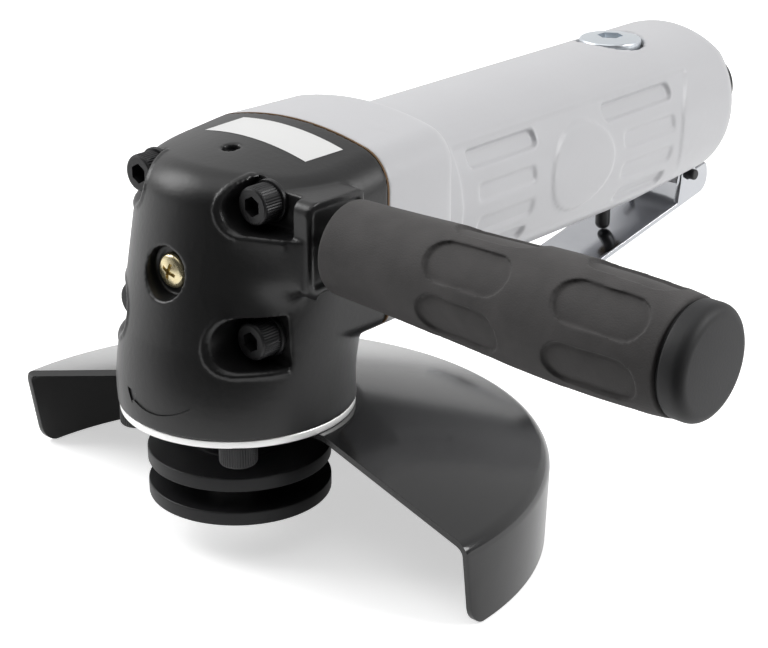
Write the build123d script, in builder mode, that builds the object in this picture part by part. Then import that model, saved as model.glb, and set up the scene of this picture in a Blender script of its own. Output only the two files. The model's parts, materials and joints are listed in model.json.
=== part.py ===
from build123d import *
import os
from math import cos, hypot, pi, radians, sin, sqrt, tan

os.makedirs("parts", exist_ok=True)

# Air angle grinder. Origin on the spindle axis at the wheel seat, +X towards the side handle,
# +Y along the motor towards the air inlet, +Z up. Millimetres.

# Clearances
running_gap = 0.05  # radial, between turning or sliding pieces
seat_gap = 0.03  # radial, between pieces that are pressed or screwed together
free_gap = 0.4  # between pieces that pass without touching
hole_spare = 0.5  # a blind hole is this much deeper than what goes in
overrun = 1.0  # a cut or a joined block runs this far past the face it starts from

# Wheel flanges and spindle
flange_r = 21.0
flange_t = 3.3
wheel_gap = 5.0  # between the two flanges
pilot_r = 11.1  # locates a wheel with a 22.2 mm bore
pilot_h = 1.5
hub_r = 10.0  # inner flange hub inside the seal
spindle_thread_r = 7.0  # M14
spindle_tail = 1.2  # thread that shows below the flange nut
spindle_shoulder_z = 10.0
gear_seat_r = 6.0
spindle_waist_r = 5.0
spindle_collar_t = 2.0  # between the lower bearing and the gear
spanner_hole_r = 2.5
spanner_hole_depth = 2.3
spanner_hole_pitch_r = 15.0

# Bearings: bore radius, outer radius and width of each
lower_bore_r, lower_outer_r, lower_w = 7.5, 17.5, 11.0
upper_bore_r, upper_outer_r, upper_w = 4.0, 11.0, 7.0
front_bore_r, front_outer_r, front_w = 5.0, 13.0, 8.0
rear_bore_r, rear_outer_r, rear_w = 4.0, 11.0, 7.0
ball_share = 0.3  # ball radius over the height of the ring section
lower_balls, upper_balls, front_balls, rear_balls = 8, 7, 7, 7
upper_bearing_rise = 8.5  # above the motor axis

# Bearing retainer under the head
retainer_r = 26.7
retainer_z = 13.25
retainer_t = 1.8
seal_outer_r = 13.0
retainer_pitch_r = 22.7
retainer_engagement = 9.0

# Socket cap screws, M5
screw_r = 2.5
screw_head_r = 4.25
screw_head_h = 5.0
screw_head_chamfer = 0.4
screw_socket = 4.0  # across flats
screw_socket_depth = 2.6
washer_r = 4.8
washer_t = 1.0

# Gear housing
motor_z = 49.5  # height of the motor axis
joint_y = 20.0  # rear face of the head
head_r = 27.0  # round skirt at the bottom
head_top_r = 28.2  # front arc at the top of the taper
head_taper_top_z = 80.0
head_lean = 0.24  # rearward shift of the front arc for each millimetre of height
head_round = 9.0
flange_half_w = 27.7
flange_half_h = 25.5
crown_r = 82.0  # arch across the top
belly_r = 43.0  # rounder arch across the bottom
belly_round = 4.0
bell_blend = 21.6  # height over which the round skirt runs into the head
crown_slope = 6.0  # degrees, rising to the rear
gear_cavity_r = 12.0
pinion_way_r = 8.5
upper_screw_x = 17.5  # housing screws, from the motor axis
upper_screw_up = 16.4
lower_screw_x = 18.6
lower_screw_down = 13.0
upper_seat_y = -5.5
lower_seat_y = -8.0
pocket_r = 5.8
upper_pocket_reach = 9.0  # square outer end of a screw pocket, from the screw
lower_pocket_reach = 6.6
screw_engagement = 15.0
grease_recess_r = 5.8
grease_floor_y = -17.6
grease_screw_r = 2.0
grease_head_r = 4.0
grease_head_h = 2.4
grease_head_round = 1.3
cross_l, cross_w, cross_depth = 4.8, 1.0, 1.4
set_screw_r = 2.0
set_screw_l = 4.0
set_screw_drop = 1.2  # below the housing top
boss_x = 31.0  # outer face of the handle boss
boss_w = 17.6
boss_h = 20.6
boss_corner_r = 2.5
boss_rim_w = 1.6  # raised rim round the outer face
boss_rim_h = 0.6
boss_sink_r = 1.0
boss_depth = 14.0
handle_z = 58.1
handle_droop = 1.3  # degrees
gasket_t = 0.5

# Wheel guard
guard_t = 1.5
guard_r = 71.2
guard_inner_r = 16.0
guard_flat_r = 28.3
guard_slope = 14.9  # degrees, of the cone
guard_bend_r = 3.5
guard_floor_z = -18.7
guard_skirt_in = 0.8  # the skirt leans in by this much
guard_overhang = 3.7  # degrees past the half circle at each end
guard_end_back = 3.2  # the lower corners stand back by this much
guard_corner_r = 5.5

# Bevel gears
gear_teeth = 20
pinion_teeth = 10
gear_module = 1.1
gear_face = 4.0
tooth_fill = 0.38  # tooth thickness over the pitch
tooth_slant = 0.32  # flank lean, sideways over height
tooth_rise = 0.9  # above the pitch cone, over the module
tooth_fall = 1.25  # below the pitch cone, over the module
tooth_root = 1.5  # a tooth starts this far below the pitch cone, inside its wheel, over the module
gear_hub_r = 9.0
gear_back_z = 39.5
pinion_gap = 0.5  # between the pinion and the bearing behind it
rotor_nose_r = 2.4
key_w = 3.0
key_h = 2.0
key_l = 9.0
key_start = 1.0  # above the spindle's collar

# Motor housing
collar_rear_y = 46.0
collar_rear_half_w = 25.9
collar_rear_half_h = 25.2
collar_round = 4.0
body_half_w = 22.4
body_top = 22.0
body_bottom = 23.2
upper_crease_x = 17.2
lower_crease_x = 16.0
crease_up = 16.4
crease_down = 16.8
crease_round = 1.5
body_rear_y = 172.0
body_rear_round = 6.0
heel_y = 136.0  # the underside rises from here to the rear
heel_lift = 2.6
panel_front_y = 52.5
panel_rear_y = 150.0
panel_depth = 0.45
panel_margin = 1.4  # from the creases
panel_end_r = 20.6  # the panel's rear end curves round the grip
badge_y = 100.5
badge_half_l = 12.7
badge_half_h = 11.3
groove_depth = 0.6
groove_w = 4.6
groove_round = 1.6
groove_front_y = 70.2  # middle of the front group
groove_rear_y = 141.0  # rear ends of the rear group
groove_rows = (  # degrees round the motor axis, front and rear lengths
    (30.0, 26.0, 30.0),
    (7.5, 22.0, 23.0),
    (-14.5, 22.0, 23.0),
    (-35.0, 21.0, 21.0),
)

# Vane motor
plate_r = 18.5
front_plate_y = 16.0
front_plate_wall = 4.0
front_bearing_y = 18.0
liner_l = 64.0
liner_bore_r = 15.0
liner_shift = 1.5  # the liner's bore stands this far above the motor axis
rear_plate_wall = 4.0
rotor_r = 13.4
vane_count = 5
vane_t = 2.0
vane_depth = 7.0
dowel_r = 1.5
dowel_drop = 16.0
air_port_r = 3.0
plate_port_r = 1.5
plate_port_x = 14.5

# Throttle valve
valve_y = 141.0
valve_seat_drop = 8.0  # below the motor axis
valve_seat_r = 3.4
valve_seat_t = 1.5
valve_head_r = 5.2
valve_head_h = 3.0
valve_seal_t = 1.2
valve_pin_r = 2.0
valve_pin_round = 1.8
valve_chamber_r = 5.0
valve_bush_r = 4.0
valve_bush_l = 8.0
valve_way_r = 3.5
plug_head_r = 8.2
plug_head_h = 2.6
plug_dome = 0.9
plug_thread_r = 6.9
plug_thread_l = 6.0
plug_well_r = 8.9
plug_socket = 6.0  # across flats
plug_socket_depth = 2.2
o_ring_r = 0.8
spring_wire_r = 0.45
spring_turns = 6

# Throttle lever
lever_pivot_y = 168.0
lever_pivot_z = 29.5
lever_pin_r = 1.5
lever_t = 1.5
lever_half_w = 9.8
lever_slope = 10.5  # degrees, falling to the front
lever_drop = 6.64  # from the pivot to the upper face of the plate
lever_reach = 92.0  # from the pivot to the front end
lever_corner_r = 6.0
lever_tail = 9.2  # behind the pivot
lever_tail_r = 4.5  # round lower corner of the ears
lever_tail_top_r = 1.5
lever_ear_l = 6.9  # ahead of the pivot, at the plate
lever_ear_r = 3.5
lever_lug_r = 3.6
lever_pin_out = 2.3  # beyond the ears

# Air inlet and exhaust
inlet_r = 5.72  # minor radius of a G 1/4 thread
inlet_thread_l = 16.0
inlet_bush_r = 8.5
inlet_bush_out = 18.0  # beyond the rear face
inlet_collar_r = 9.0  # behind the deflector, which it holds
inlet_collar_round = 0.5
inlet_bush_in = 22.0  # inside the rear face
inlet_way_r = 5.0
inlet_bush_bore_r = 4.5
strainer_t = 1.2
strainer_pitch = 2.2
exhaust_well_r = 14.2
exhaust_well_l = 10.0
exhaust_way_r = 2.6
exhaust_way_x = 12.5
exhaust_way_up = 6.0
deflector_r = 15.0
deflector_l = 8.0
deflector_round = 1.2
deflector_slots = 8
deflector_slot_w = 3.0
deflector_slot_l = 4.5
silencer_l = 7.0

# Side handle
stud_r = 4.0  # M8
stud_in = 11.0
stud_out = 34.0
grip_start = 3.6  # from the boss to the grip
grip_l = 87.5
grip_root_r = 10.4
grip_swell_r = 12.5
grip_swell_at = 56.0
grip_end_r = 11.8
grip_root_flare = 0.02  # slope of the skin at the root
grip_end_taper = 0.12  # slope of the skin at the outer end
grip_edge_round = 1.0
grip_bore_l = 45.0
grip_slot_count = 6
grip_slot_w = 9.2
grip_slot_depth = 0.9
grip_slot_turn = 43.0  # degrees above the front
grip_row_one, grip_row_one_l = 41.5, 21.0
grip_row_two, grip_row_two_l = 73.5, 21.0
cap_r = 11.6
cap_l = 5.9
cap_round = 2.4
cap_plug_r = 8.0
cap_plug_l = 8.0

# Places that follow from the sizes above
head_bottom_z = retainer_z + retainer_t
lower_bearing_top_z = head_bottom_z + lower_w
flange_top_z = motor_z + flange_half_h
flange_bottom_z = motor_z - flange_half_h
collar_front_y = joint_y + gasket_t
nut_top_z = -wheel_gap
nut_bottom_z = nut_top_z - flange_t
upper_bearing_z = motor_z + upper_bearing_rise
gear_collar_z = lower_bearing_top_z + spindle_collar_t
front_plate_rear_y = front_bearing_y + front_w + front_plate_wall
liner_rear_y = front_plate_rear_y + liner_l
rear_bearing_y = liner_rear_y + rear_plate_wall
motor_bore_end_y = rear_bearing_y + rear_w + hole_spare
motor_bore_r = plate_r + seat_gap
body_top_z = motor_z + body_top
body_bottom_z = motor_z - body_bottom
valve_seat_z = motor_z - valve_seat_drop
valve_chamber_top_z = valve_seat_z - valve_seat_t
droop = radians(handle_droop)
handle_plane = Plane(origin=(boss_x, 0, handle_z), x_dir=(0, 1, 0), z_dir=(cos(droop), 0, -sin(droop)))


def motor_plane(y):
    """A plane across the motor axis at y, facing the rear, with its own Y axis up."""
    return Plane(origin=(0, y, motor_z), x_dir=(-1, 0, 0), z_dir=(0, 1, 0))


def tube(radius, bore, length):
    """A plain tube about the current plane's axis."""
    Cylinder(radius, length, align=(Align.CENTER, Align.CENTER, Align.MIN))
    Cylinder(bore, length, align=(Align.CENTER, Align.CENTER, Align.MIN), mode=Mode.SUBTRACT)


def rod(radius, length):
    """A plain rod that stands on the current plane."""
    Cylinder(radius, length, align=(Align.CENTER, Align.CENTER, Align.MIN))


def flange_outline(half_w, half_h):
    """The joint's outline: a low arch on top, a rounder one below, straight sides, round corners."""
    upper = half_h - crown_r + sqrt(crown_r**2 - half_w**2)
    lower = belly_r - sqrt(belly_r**2 - half_w**2) - half_h
    with BuildSketch() as outline:
        with BuildLine():
            ThreePointArc((-half_w, upper), (0, half_h), (half_w, upper))
            Line((half_w, upper), (half_w, lower))
            ThreePointArc((half_w, lower), (0, -half_h), (-half_w, lower))
            Line((-half_w, lower), (-half_w, upper))
        make_face()
        fillet(outline.vertices().group_by(Axis.Y)[-1], head_round)
        fillet(outline.vertices().group_by(Axis.Y)[0], belly_round)
    return outline.sketch


def body_outline(lift=0):
    """The grip section: round top and bottom, flatter sides, four soft creases, a lifted underside."""
    low_crease = lift - crease_down
    middle = (crease_up + low_crease) / 2
    with BuildSketch() as outline:
        with BuildLine():
            ThreePointArc((-upper_crease_x, crease_up), (0, body_top), (upper_crease_x, crease_up))
            ThreePointArc((upper_crease_x, crease_up), (body_half_w, middle), (lower_crease_x, low_crease))
            ThreePointArc((lower_crease_x, low_crease), (0, lift - body_bottom), (-lower_crease_x, low_crease))
            ThreePointArc((-lower_crease_x, low_crease), (-body_half_w, middle), (-upper_crease_x, crease_up))
        make_face()
        fillet(outline.vertices(), crease_round)
    return outline.sketch


def cap_screw(length):
    """A socket cap screw that stands head up, with the underside of its head at the origin."""
    with BuildPart() as screw:
        rod(screw_head_r, screw_head_h)
        chamfer(screw.faces().sort_by(Axis.Z)[-1].edges(), screw_head_chamfer)
        with BuildSketch(Plane.XY.offset(screw_head_h)):
            RegularPolygon(screw_socket / 2, 6, major_radius=False)
        extrude(amount=-screw_socket_depth, mode=Mode.SUBTRACT)
        with BuildSketch():
            Circle(screw_r - seat_gap)
        extrude(amount=-length)
    return screw.part


def ring_middle(bore, outer):
    return (bore + outer) / 2, ball_share * (outer - bore)


def outer_race(bore, outer, width):
    """The outer ring of a ball bearing, standing on the XY plane."""
    middle, ball = ring_middle(bore, outer)
    with BuildPart() as race:
        with BuildSketch(Plane.XZ):
            inner = middle + ball / 2
            with Locations((inner, 0)):
                Rectangle(outer - seat_gap - inner, width, align=(Align.MIN, Align.MIN))
            with Locations((middle, width / 2)):
                Circle(ball + running_gap, mode=Mode.SUBTRACT)
        revolve(axis=Axis.Z)
    return race.part


def inner_race(bore, outer, width):
    """The inner ring of a ball bearing, standing on the XY plane."""
    middle, ball = ring_middle(bore, outer)
    with BuildPart() as race:
        with BuildSketch(Plane.XZ):
            with Locations((bore + seat_gap, 0)):
                Rectangle(middle - ball / 2 - bore - seat_gap, width, align=(Align.MIN, Align.MIN))
            with Locations((middle, width / 2)):
                Circle(ball + running_gap, mode=Mode.SUBTRACT)
        revolve(axis=Axis.Z)
    return race.part


def ball_set(bore, outer, width, count):
    """The balls of a bearing that stands on the XY plane."""
    middle, ball = ring_middle(bore, outer)
    with BuildPart(Plane.XY.offset(width / 2)) as balls:
        with PolarLocations(middle, count):
            Sphere(ball)
    return balls.part


def bevel_wheel(teeth, mate_teeth, bore, hub, hub_end):
    """A straight bevel wheel with its cone's tip at the origin and its hub running down to -hub_end."""
    pitch_r = gear_module * teeth / 2
    mate_r = gear_module * mate_teeth / 2
    reach = hypot(pitch_r, mate_r)
    across = pitch_r / reach
    down = mate_r / reach
    rise = tooth_rise * gear_module
    fall = tooth_fall * gear_module
    sunk = tooth_root * gear_module
    half = tooth_fill * pi * gear_module / 2
    root_half = half + fall * tooth_slant
    tip_half = half - rise * tooth_slant
    small = (reach - gear_face) / reach
    root_r = pitch_r - fall * down
    root_z = -mate_r - fall * across
    with BuildPart() as tooth:
        for share in (1, small):
            place = Plane(
                origin=(share * pitch_r, 0, -share * mate_r),
                x_dir=(0, 1, 0),
                z_dir=(across, 0, -down),
            )
            with BuildSketch(place):
                with BuildLine():
                    Polyline(
                        (-root_half * share, -sunk * share),
                        (root_half * share, -sunk * share),
                        (tip_half * share, rise * share),
                        (-tip_half * share, rise * share),
                        close=True,
                    )
                make_face()
        loft(ruled=True)
    with BuildPart() as wheel:
        with BuildSketch(Plane.XZ):
            with BuildLine():
                Polyline(
                    (0, small * root_z),
                    (small * root_r, small * root_z),
                    (root_r, root_z),
                    (root_r, root_z - gear_module),
                    (hub, root_z - 2 * gear_module),
                    (hub, -hub_end),
                    (0, -hub_end),
                    close=True,
                )
            make_face()
        revolve(axis=Axis.Z)
        with PolarLocations(0, teeth):
            add(tooth.part)
        with BuildSketch(Plane.XY.offset(-hub_end)):
            Circle(bore)
        extrude(amount=hub_end, mode=Mode.SUBTRACT)
    return wheel.part


# Gear housing: a cast head, round at the spindle and square at the motor, its front leaning back
def head_section(radius, centre_y):
    """A level section of the head: a round front with straight sides back to the joint."""
    with BuildSketch() as section:
        with BuildLine():
            ThreePointArc((-radius, centre_y), (0, centre_y - radius), (radius, centre_y))
            Polyline((radius, centre_y), (radius, joint_y), (-radius, joint_y), (-radius, centre_y))
        make_face()
    return section.sketch


def lean_at(height):
    return head_lean * (height - flange_bottom_z)


def head_radius_at(height):
    share = (height - flange_bottom_z) / (head_taper_top_z - flange_bottom_z)
    return head_r + share * (head_top_r - head_r)


with BuildPart() as head_block:
    with BuildSketch(Plane.XY.offset(flange_bottom_z)):
        add(head_section(head_r, 0))
    with BuildSketch(Plane.XY.offset(head_taper_top_z)):
        add(head_section(head_top_r, lean_at(head_taper_top_z)))
    loft(ruled=True)
    with BuildSketch(Plane.XZ.offset(-joint_y)):
        with Locations((0, flange_top_z)):
            Rectangle(4 * head_r, 2 * flange_half_h)
        with Locations((0, flange_top_z - crown_r)):
            Circle(crown_r, mode=Mode.SUBTRACT)
    crown_dir = Vector(0, -cos(radians(crown_slope)), -sin(radians(crown_slope)))
    extrude(amount=3 * head_r, dir=crown_dir, mode=Mode.SUBTRACT)
    top_edges = head_block.faces().sort_by(Axis.Z)[-1].edges()
    fillet(top_edges.filter_by(lambda e: e.center().Y < joint_y - free_gap), head_round)
    with BuildSketch(Plane.XZ.offset(-joint_y)):
        with Locations((0, flange_bottom_z)):
            Rectangle(4 * head_r, 2 * flange_half_h)
        with Locations((0, flange_bottom_z + belly_r)):
            Circle(belly_r, mode=Mode.SUBTRACT)
    extrude(amount=3 * head_r, mode=Mode.SUBTRACT)
    bottom_edges = head_block.faces().sort_by(Axis.Z)[0].edges()
    fillet(bottom_edges.filter_by(lambda e: e.center().Y < joint_y - free_gap), belly_round)

with BuildPart() as head_bell:
    bell_middle_z = flange_bottom_z + bell_blend / 2
    bell_top_z = flange_bottom_z + bell_blend
    for station in (head_bottom_z, flange_bottom_z, bell_middle_z, bell_top_z):
        with BuildSketch(Plane.XY.offset(station)):
            if station > flange_bottom_z:
                with Locations((0, lean_at(station))):
                    Circle(head_radius_at(station) - seat_gap)
            else:
                Circle(head_r)
    loft()

upper_screw_z = motor_z + upper_screw_up
lower_screw_z = motor_z - lower_screw_down
housing_screw_spots = (
    (upper_screw_x, upper_screw_z, upper_seat_y),
    (lower_screw_x, lower_screw_z, lower_seat_y),
)

with BuildPart() as gear_housing:
    add(head_bell.part)
    with BuildSketch(Plane.XY.offset(flange_bottom_z - free_gap)):
        with Locations((0, joint_y)):
            Rectangle(4 * head_r, 2 * head_r, align=(Align.CENTER, Align.MIN))
    extrude(amount=4 * head_r, mode=Mode.SUBTRACT)
    add(head_block.part)
    with BuildSketch(handle_plane):
        RectangleRounded(boss_w, boss_h, boss_corner_r)
    extrude(amount=-boss_depth)
    with BuildSketch(handle_plane):
        RectangleRounded(boss_w - 2 * boss_rim_w, boss_h - 2 * boss_rim_w, boss_sink_r)
    extrude(amount=-boss_rim_h, mode=Mode.SUBTRACT)
    # spindle bore, gear cavity and upper bearing seat
    with BuildSketch(Plane.XY.offset(head_bottom_z)):
        Circle(lower_outer_r)
    extrude(amount=lower_w, mode=Mode.SUBTRACT)
    with BuildSketch(Plane.XY.offset(head_bottom_z)):
        Circle(gear_cavity_r)
    extrude(amount=upper_bearing_z - head_bottom_z - hole_spare, mode=Mode.SUBTRACT)
    with BuildSketch(Plane.XY.offset(motor_z)):
        Circle(upper_outer_r)
    extrude(amount=upper_bearing_z + upper_w - motor_z, mode=Mode.SUBTRACT)
    with BuildSketch(Plane.XY.offset(motor_z)):
        Circle(set_screw_r)
    extrude(amount=flange_top_z - motor_z, mode=Mode.SUBTRACT)
    # motor spigot and pinion way
    with BuildSketch(motor_plane(joint_y)):
        Circle(motor_bore_r)
    extrude(amount=front_plate_y - joint_y, mode=Mode.SUBTRACT)
    with BuildSketch(motor_plane(joint_y)):
        Circle(pinion_way_r)
    extrude(amount=-joint_y, mode=Mode.SUBTRACT)
    # pockets and holes of the housing screws
    pocket_reaches = (upper_pocket_reach, lower_pocket_reach)
    for (screw_x, screw_z, seat_y), reach in zip(housing_screw_spots, pocket_reaches):
        with BuildSketch(Plane.XZ.offset(-seat_y)):
            with Locations((screw_x, screw_z)):
                Circle(pocket_r)
                Rectangle(reach, 2 * pocket_r, align=(Align.MIN, Align.CENTER))
            mirror(about=Plane.YZ)
        extrude(amount=2 * head_r, mode=Mode.SUBTRACT)
        with BuildSketch(Plane.XZ.offset(-joint_y)):
            with Locations((-screw_x, screw_z), (screw_x, screw_z)):
                Circle(screw_r + free_gap)
        extrude(amount=joint_y - seat_y, mode=Mode.SUBTRACT)
    # recess and hole of the grease plug
    with BuildSketch(Plane.XZ.offset(-grease_floor_y)):
        with Locations((0, motor_z)):
            Circle(grease_recess_r)
    extrude(amount=2 * head_r, mode=Mode.SUBTRACT)
    with BuildSketch(Plane.XZ.offset(-grease_floor_y)):
        with Locations((0, motor_z)):
            Circle(grease_screw_r)
    extrude(amount=grease_floor_y, mode=Mode.SUBTRACT)
    # threaded holes of the retainer screws and the handle
    with BuildSketch(Plane.XY.offset(head_bottom_z)):
        with PolarLocations(retainer_pitch_r, 4, start_angle=45):
            Circle(screw_r)
    extrude(amount=retainer_engagement + hole_spare, mode=Mode.SUBTRACT)
    with BuildSketch(handle_plane):
        Circle(stud_r)
    extrude(amount=-stud_in - hole_spare, mode=Mode.SUBTRACT)
gear_housing.part.label = "gear_housing"
export_step(gear_housing.part, "parts/gear_housing.step")

# Gasket between the head and the motor housing
with BuildPart() as housing_gasket:
    with BuildSketch(motor_plane(joint_y)):
        add(flange_outline(flange_half_w, flange_half_h))
        Circle(motor_bore_r + free_gap, mode=Mode.SUBTRACT)
        for screw_x, screw_z, seat_y in housing_screw_spots:
            with Locations((-screw_x, screw_z - motor_z), (screw_x, screw_z - motor_z)):
                Circle(screw_r + free_gap, mode=Mode.SUBTRACT)
    extrude(amount=gasket_t)
housing_gasket.part.label = "housing_gasket"
export_step(housing_gasket.part, "parts/housing_gasket.step")

# Motor housing: a square collar that steps down to a round grip body with recessed sides
with BuildPart() as side_panels:
    with BuildSketch(motor_plane(panel_front_y)):
        with Locations((0, (crease_up - crease_down) / 2)):
            Rectangle(4 * body_half_w, crease_up + crease_down - 2 * panel_margin)
        offset(body_outline(), amount=-panel_depth, mode=Mode.SUBTRACT)
    extrude(amount=panel_rear_y - panel_front_y)
    with BuildSketch(Plane.YZ):
        with Locations((badge_y, motor_z)):
            Ellipse(badge_half_l, badge_half_h)
        with Locations((panel_rear_y + panel_end_r - badge_half_h / 2, motor_z)):
            Circle(panel_end_r)
    extrude(amount=2 * body_half_w, both=True, mode=Mode.SUBTRACT)

with BuildPart() as motor_housing:
    with BuildSketch(motor_plane(collar_front_y)):
        add(flange_outline(flange_half_w, flange_half_h))
    with BuildSketch(motor_plane(collar_rear_y)):
        add(flange_outline(collar_rear_half_w, collar_rear_half_h))
    loft(ruled=True)
    fillet(motor_housing.faces().sort_by(Axis.Y)[-1].edges(), collar_round)
    with BuildSketch(motor_plane(collar_front_y)):
        add(body_outline())
    extrude(amount=heel_y - collar_front_y)
    with BuildSketch(motor_plane(heel_y)):
        add(body_outline())
    with BuildSketch(motor_plane(body_rear_y)):
        add(body_outline(heel_lift))
    loft(ruled=True)
    fillet(motor_housing.faces().sort_by(Axis.Y)[-1].edges(), body_rear_round)
    add(side_panels.part, mode=Mode.SUBTRACT)
    # grip grooves, square to the skin
    for row, front_l, rear_l in groove_rows:
        for turn in (radians(row), radians(180 - row)):
            facing = Vector(cos(turn), 0, sin(turn))
            for middle_y, length in ((groove_front_y, front_l), (groove_rear_y - rear_l / 2, rear_l)):
                floor = Vector(0, middle_y, motor_z) + facing * (body_half_w - panel_depth - groove_depth)
                with BuildSketch(Plane(floor, x_dir=(0, 1, 0), z_dir=facing)):
                    RectangleRounded(length, groove_w, groove_round)
                extrude(amount=groove_w, mode=Mode.SUBTRACT)
    # lug for the lever's pin
    with BuildSketch(Plane.YZ):
        with Locations((lever_pivot_y, lever_pivot_z)):
            Circle(lever_lug_r)
            Rectangle(2 * lever_lug_r, body_bottom, align=(Align.CENTER, Align.MIN))
    extrude(amount=lever_half_w - lever_t - free_gap, both=True)
    # motor bore and screw holes
    with BuildSketch(motor_plane(collar_front_y)):
        Circle(motor_bore_r)
    extrude(amount=motor_bore_end_y - collar_front_y, mode=Mode.SUBTRACT)
    with BuildSketch(motor_plane(collar_front_y)):
        for screw_x, screw_z, seat_y in housing_screw_spots:
            with Locations((-screw_x, screw_z - motor_z), (screw_x, screw_z - motor_z)):
                Circle(screw_r)
    extrude(amount=screw_engagement, mode=Mode.SUBTRACT)
    # valve bore from the top, its seat, lower chamber and bush hole
    with BuildSketch(Plane.XY.offset(valve_seat_z)):
        with Locations((0, valve_y)):
            Circle(plug_thread_r)
    extrude(amount=flange_half_h + valve_seat_drop, mode=Mode.SUBTRACT)
    with BuildSketch(Plane.XY.offset(body_top_z - plug_head_h - 2 * o_ring_r)):
        with Locations((0, valve_y)):
            Circle(plug_well_r)
    extrude(amount=flange_half_h, mode=Mode.SUBTRACT)
    with BuildSketch(Plane.XY.offset(valve_seat_z)):
        with Locations((0, valve_y)):
            Circle(valve_seat_r)
    extrude(amount=-valve_seat_drop, mode=Mode.SUBTRACT)
    with BuildSketch(Plane.XY.offset(body_bottom_z + valve_bush_l)):
        with Locations((0, valve_y)):
            Circle(valve_chamber_r)
    extrude(amount=valve_chamber_top_z - body_bottom_z - valve_bush_l, mode=Mode.SUBTRACT)
    with BuildSketch(Plane.XY.offset(body_bottom_z - overrun)):
        with Locations((0, valve_y)):
            Circle(valve_bush_r)
    extrude(amount=valve_bush_l + overrun, mode=Mode.SUBTRACT)
    # air way from the valve to the motor
    with BuildSketch(motor_plane(valve_y)):
        with Locations((0, (body_bottom_z + valve_bush_l + valve_chamber_top_z) / 2 - motor_z)):
            Circle(valve_way_r)
    extrude(amount=motor_bore_end_y - valve_y - overrun, mode=Mode.SUBTRACT)
    # inlet and exhaust at the rear
    with BuildSketch(motor_plane(body_rear_y)):
        Circle(exhaust_well_r)
    extrude(amount=-exhaust_well_l, mode=Mode.SUBTRACT)
    with BuildSketch(motor_plane(body_rear_y)):
        Circle(inlet_bush_r)
    extrude(amount=-inlet_bush_in, mode=Mode.SUBTRACT)
    with BuildSketch(motor_plane(body_rear_y)):
        Circle(inlet_way_r)
    extrude(amount=valve_y - body_rear_y, mode=Mode.SUBTRACT)
    with BuildSketch(motor_plane(motor_bore_end_y - overrun)):
        with Locations((-exhaust_way_x, exhaust_way_up), (exhaust_way_x, exhaust_way_up)):
            Circle(exhaust_way_r)
    extrude(amount=body_rear_y - exhaust_well_l - motor_bore_end_y + 2 * overrun, mode=Mode.SUBTRACT)
    # slots for the lever's ears and the hole of its pin
    ear_slot_w = lever_t + 2 * free_gap
    ear_middle = lever_half_w - lever_t / 2
    ear_room = lever_ear_r + free_gap
    with BuildSketch(Plane.XY.offset(lever_pivot_z + ear_room)):
        with Locations((-ear_middle, lever_pivot_y), (ear_middle, lever_pivot_y)):
            Rectangle(ear_slot_w, 2 * (lever_ear_l + free_gap))
    extrude(amount=-flange_half_h, mode=Mode.SUBTRACT)
    with BuildSketch(Plane.YZ):
        with Locations((lever_pivot_y, lever_pivot_z)):
            Circle(lever_pin_r)
    extrude(amount=lever_half_w + lever_pin_out + free_gap, both=True, mode=Mode.SUBTRACT)
motor_housing.part.label = "motor_housing"
export_step(motor_housing.part, "parts/motor_housing.step")

# Housing screws and their washers
housing_screw_l = joint_y + gasket_t + screw_engagement - hole_spare
upper_screw = cap_screw(housing_screw_l - upper_seat_y + washer_t)
lower_screw = cap_screw(housing_screw_l - lower_seat_y + washer_t)
with BuildPart() as housing_screws:
    for side in (-1, 1):
        upper_spot = (side * upper_screw_x, upper_seat_y - washer_t, upper_screw_z)
        with Locations(Plane(upper_spot, x_dir=(1, 0, 0), z_dir=(0, -1, 0))):
            add(upper_screw)
        lower_spot = (side * lower_screw_x, lower_seat_y - washer_t, lower_screw_z)
        with Locations(Plane(lower_spot, x_dir=(1, 0, 0), z_dir=(0, -1, 0))):
            add(lower_screw)
housing_screws.part.label = "housing_screws"
export_step(housing_screws.part, "parts/housing_screws.step")

with BuildPart() as screw_washers:
    for screw_x, screw_z, seat_y in housing_screw_spots:
        with BuildSketch(Plane.XZ.offset(-seat_y)):
            with Locations((-screw_x, screw_z), (screw_x, screw_z)):
                Circle(washer_r)
                Circle(screw_r + free_gap / 2, mode=Mode.SUBTRACT)
        extrude(amount=washer_t)
screw_washers.part.label = "screw_washers"
export_step(screw_washers.part, "parts/screw_washers.step")

# Grease plug: a pan head screw with a cross recess
with BuildPart() as grease_plug:
    with BuildSketch(Plane.XZ.offset(-grease_floor_y)):
        with Locations((0, motor_z)):
            Circle(grease_head_r)
    extrude(amount=grease_head_h)
    fillet(grease_plug.faces().sort_by(Axis.Y)[0].edges(), grease_head_round)
    with BuildSketch(Plane.XZ.offset(-grease_floor_y + grease_head_h)):
        with Locations((0, motor_z)):
            Rectangle(cross_l, cross_w)
            Rectangle(cross_w, cross_l)
    extrude(amount=-cross_depth, mode=Mode.SUBTRACT)
    with BuildSketch(Plane.XZ.offset(-grease_floor_y)):
        with Locations((0, motor_z)):
            Circle(grease_screw_r - seat_gap)
    extrude(amount=grease_floor_y + gear_cavity_r)
grease_plug.part.label = "grease_plug"
export_step(grease_plug.part, "parts/grease_plug.step")

# Set screw in the hole on top of the head
set_screw_top_z = flange_top_z - joint_y * tan(radians(crown_slope)) - set_screw_drop
with BuildPart() as top_set_screw:
    with BuildSketch(Plane.XY.offset(set_screw_top_z)):
        Circle(set_screw_r - seat_gap)
        RegularPolygon(set_screw_r / 2, 6, major_radius=False, mode=Mode.SUBTRACT)
    extrude(amount=-set_screw_l / 2)
    with BuildSketch(Plane.XY.offset(set_screw_top_z - set_screw_l / 2)):
        Circle(set_screw_r - seat_gap)
    extrude(amount=-set_screw_l / 2)
top_set_screw.part.label = "top_set_screw"
export_step(top_set_screw.part, "parts/top_set_screw.step")

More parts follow.
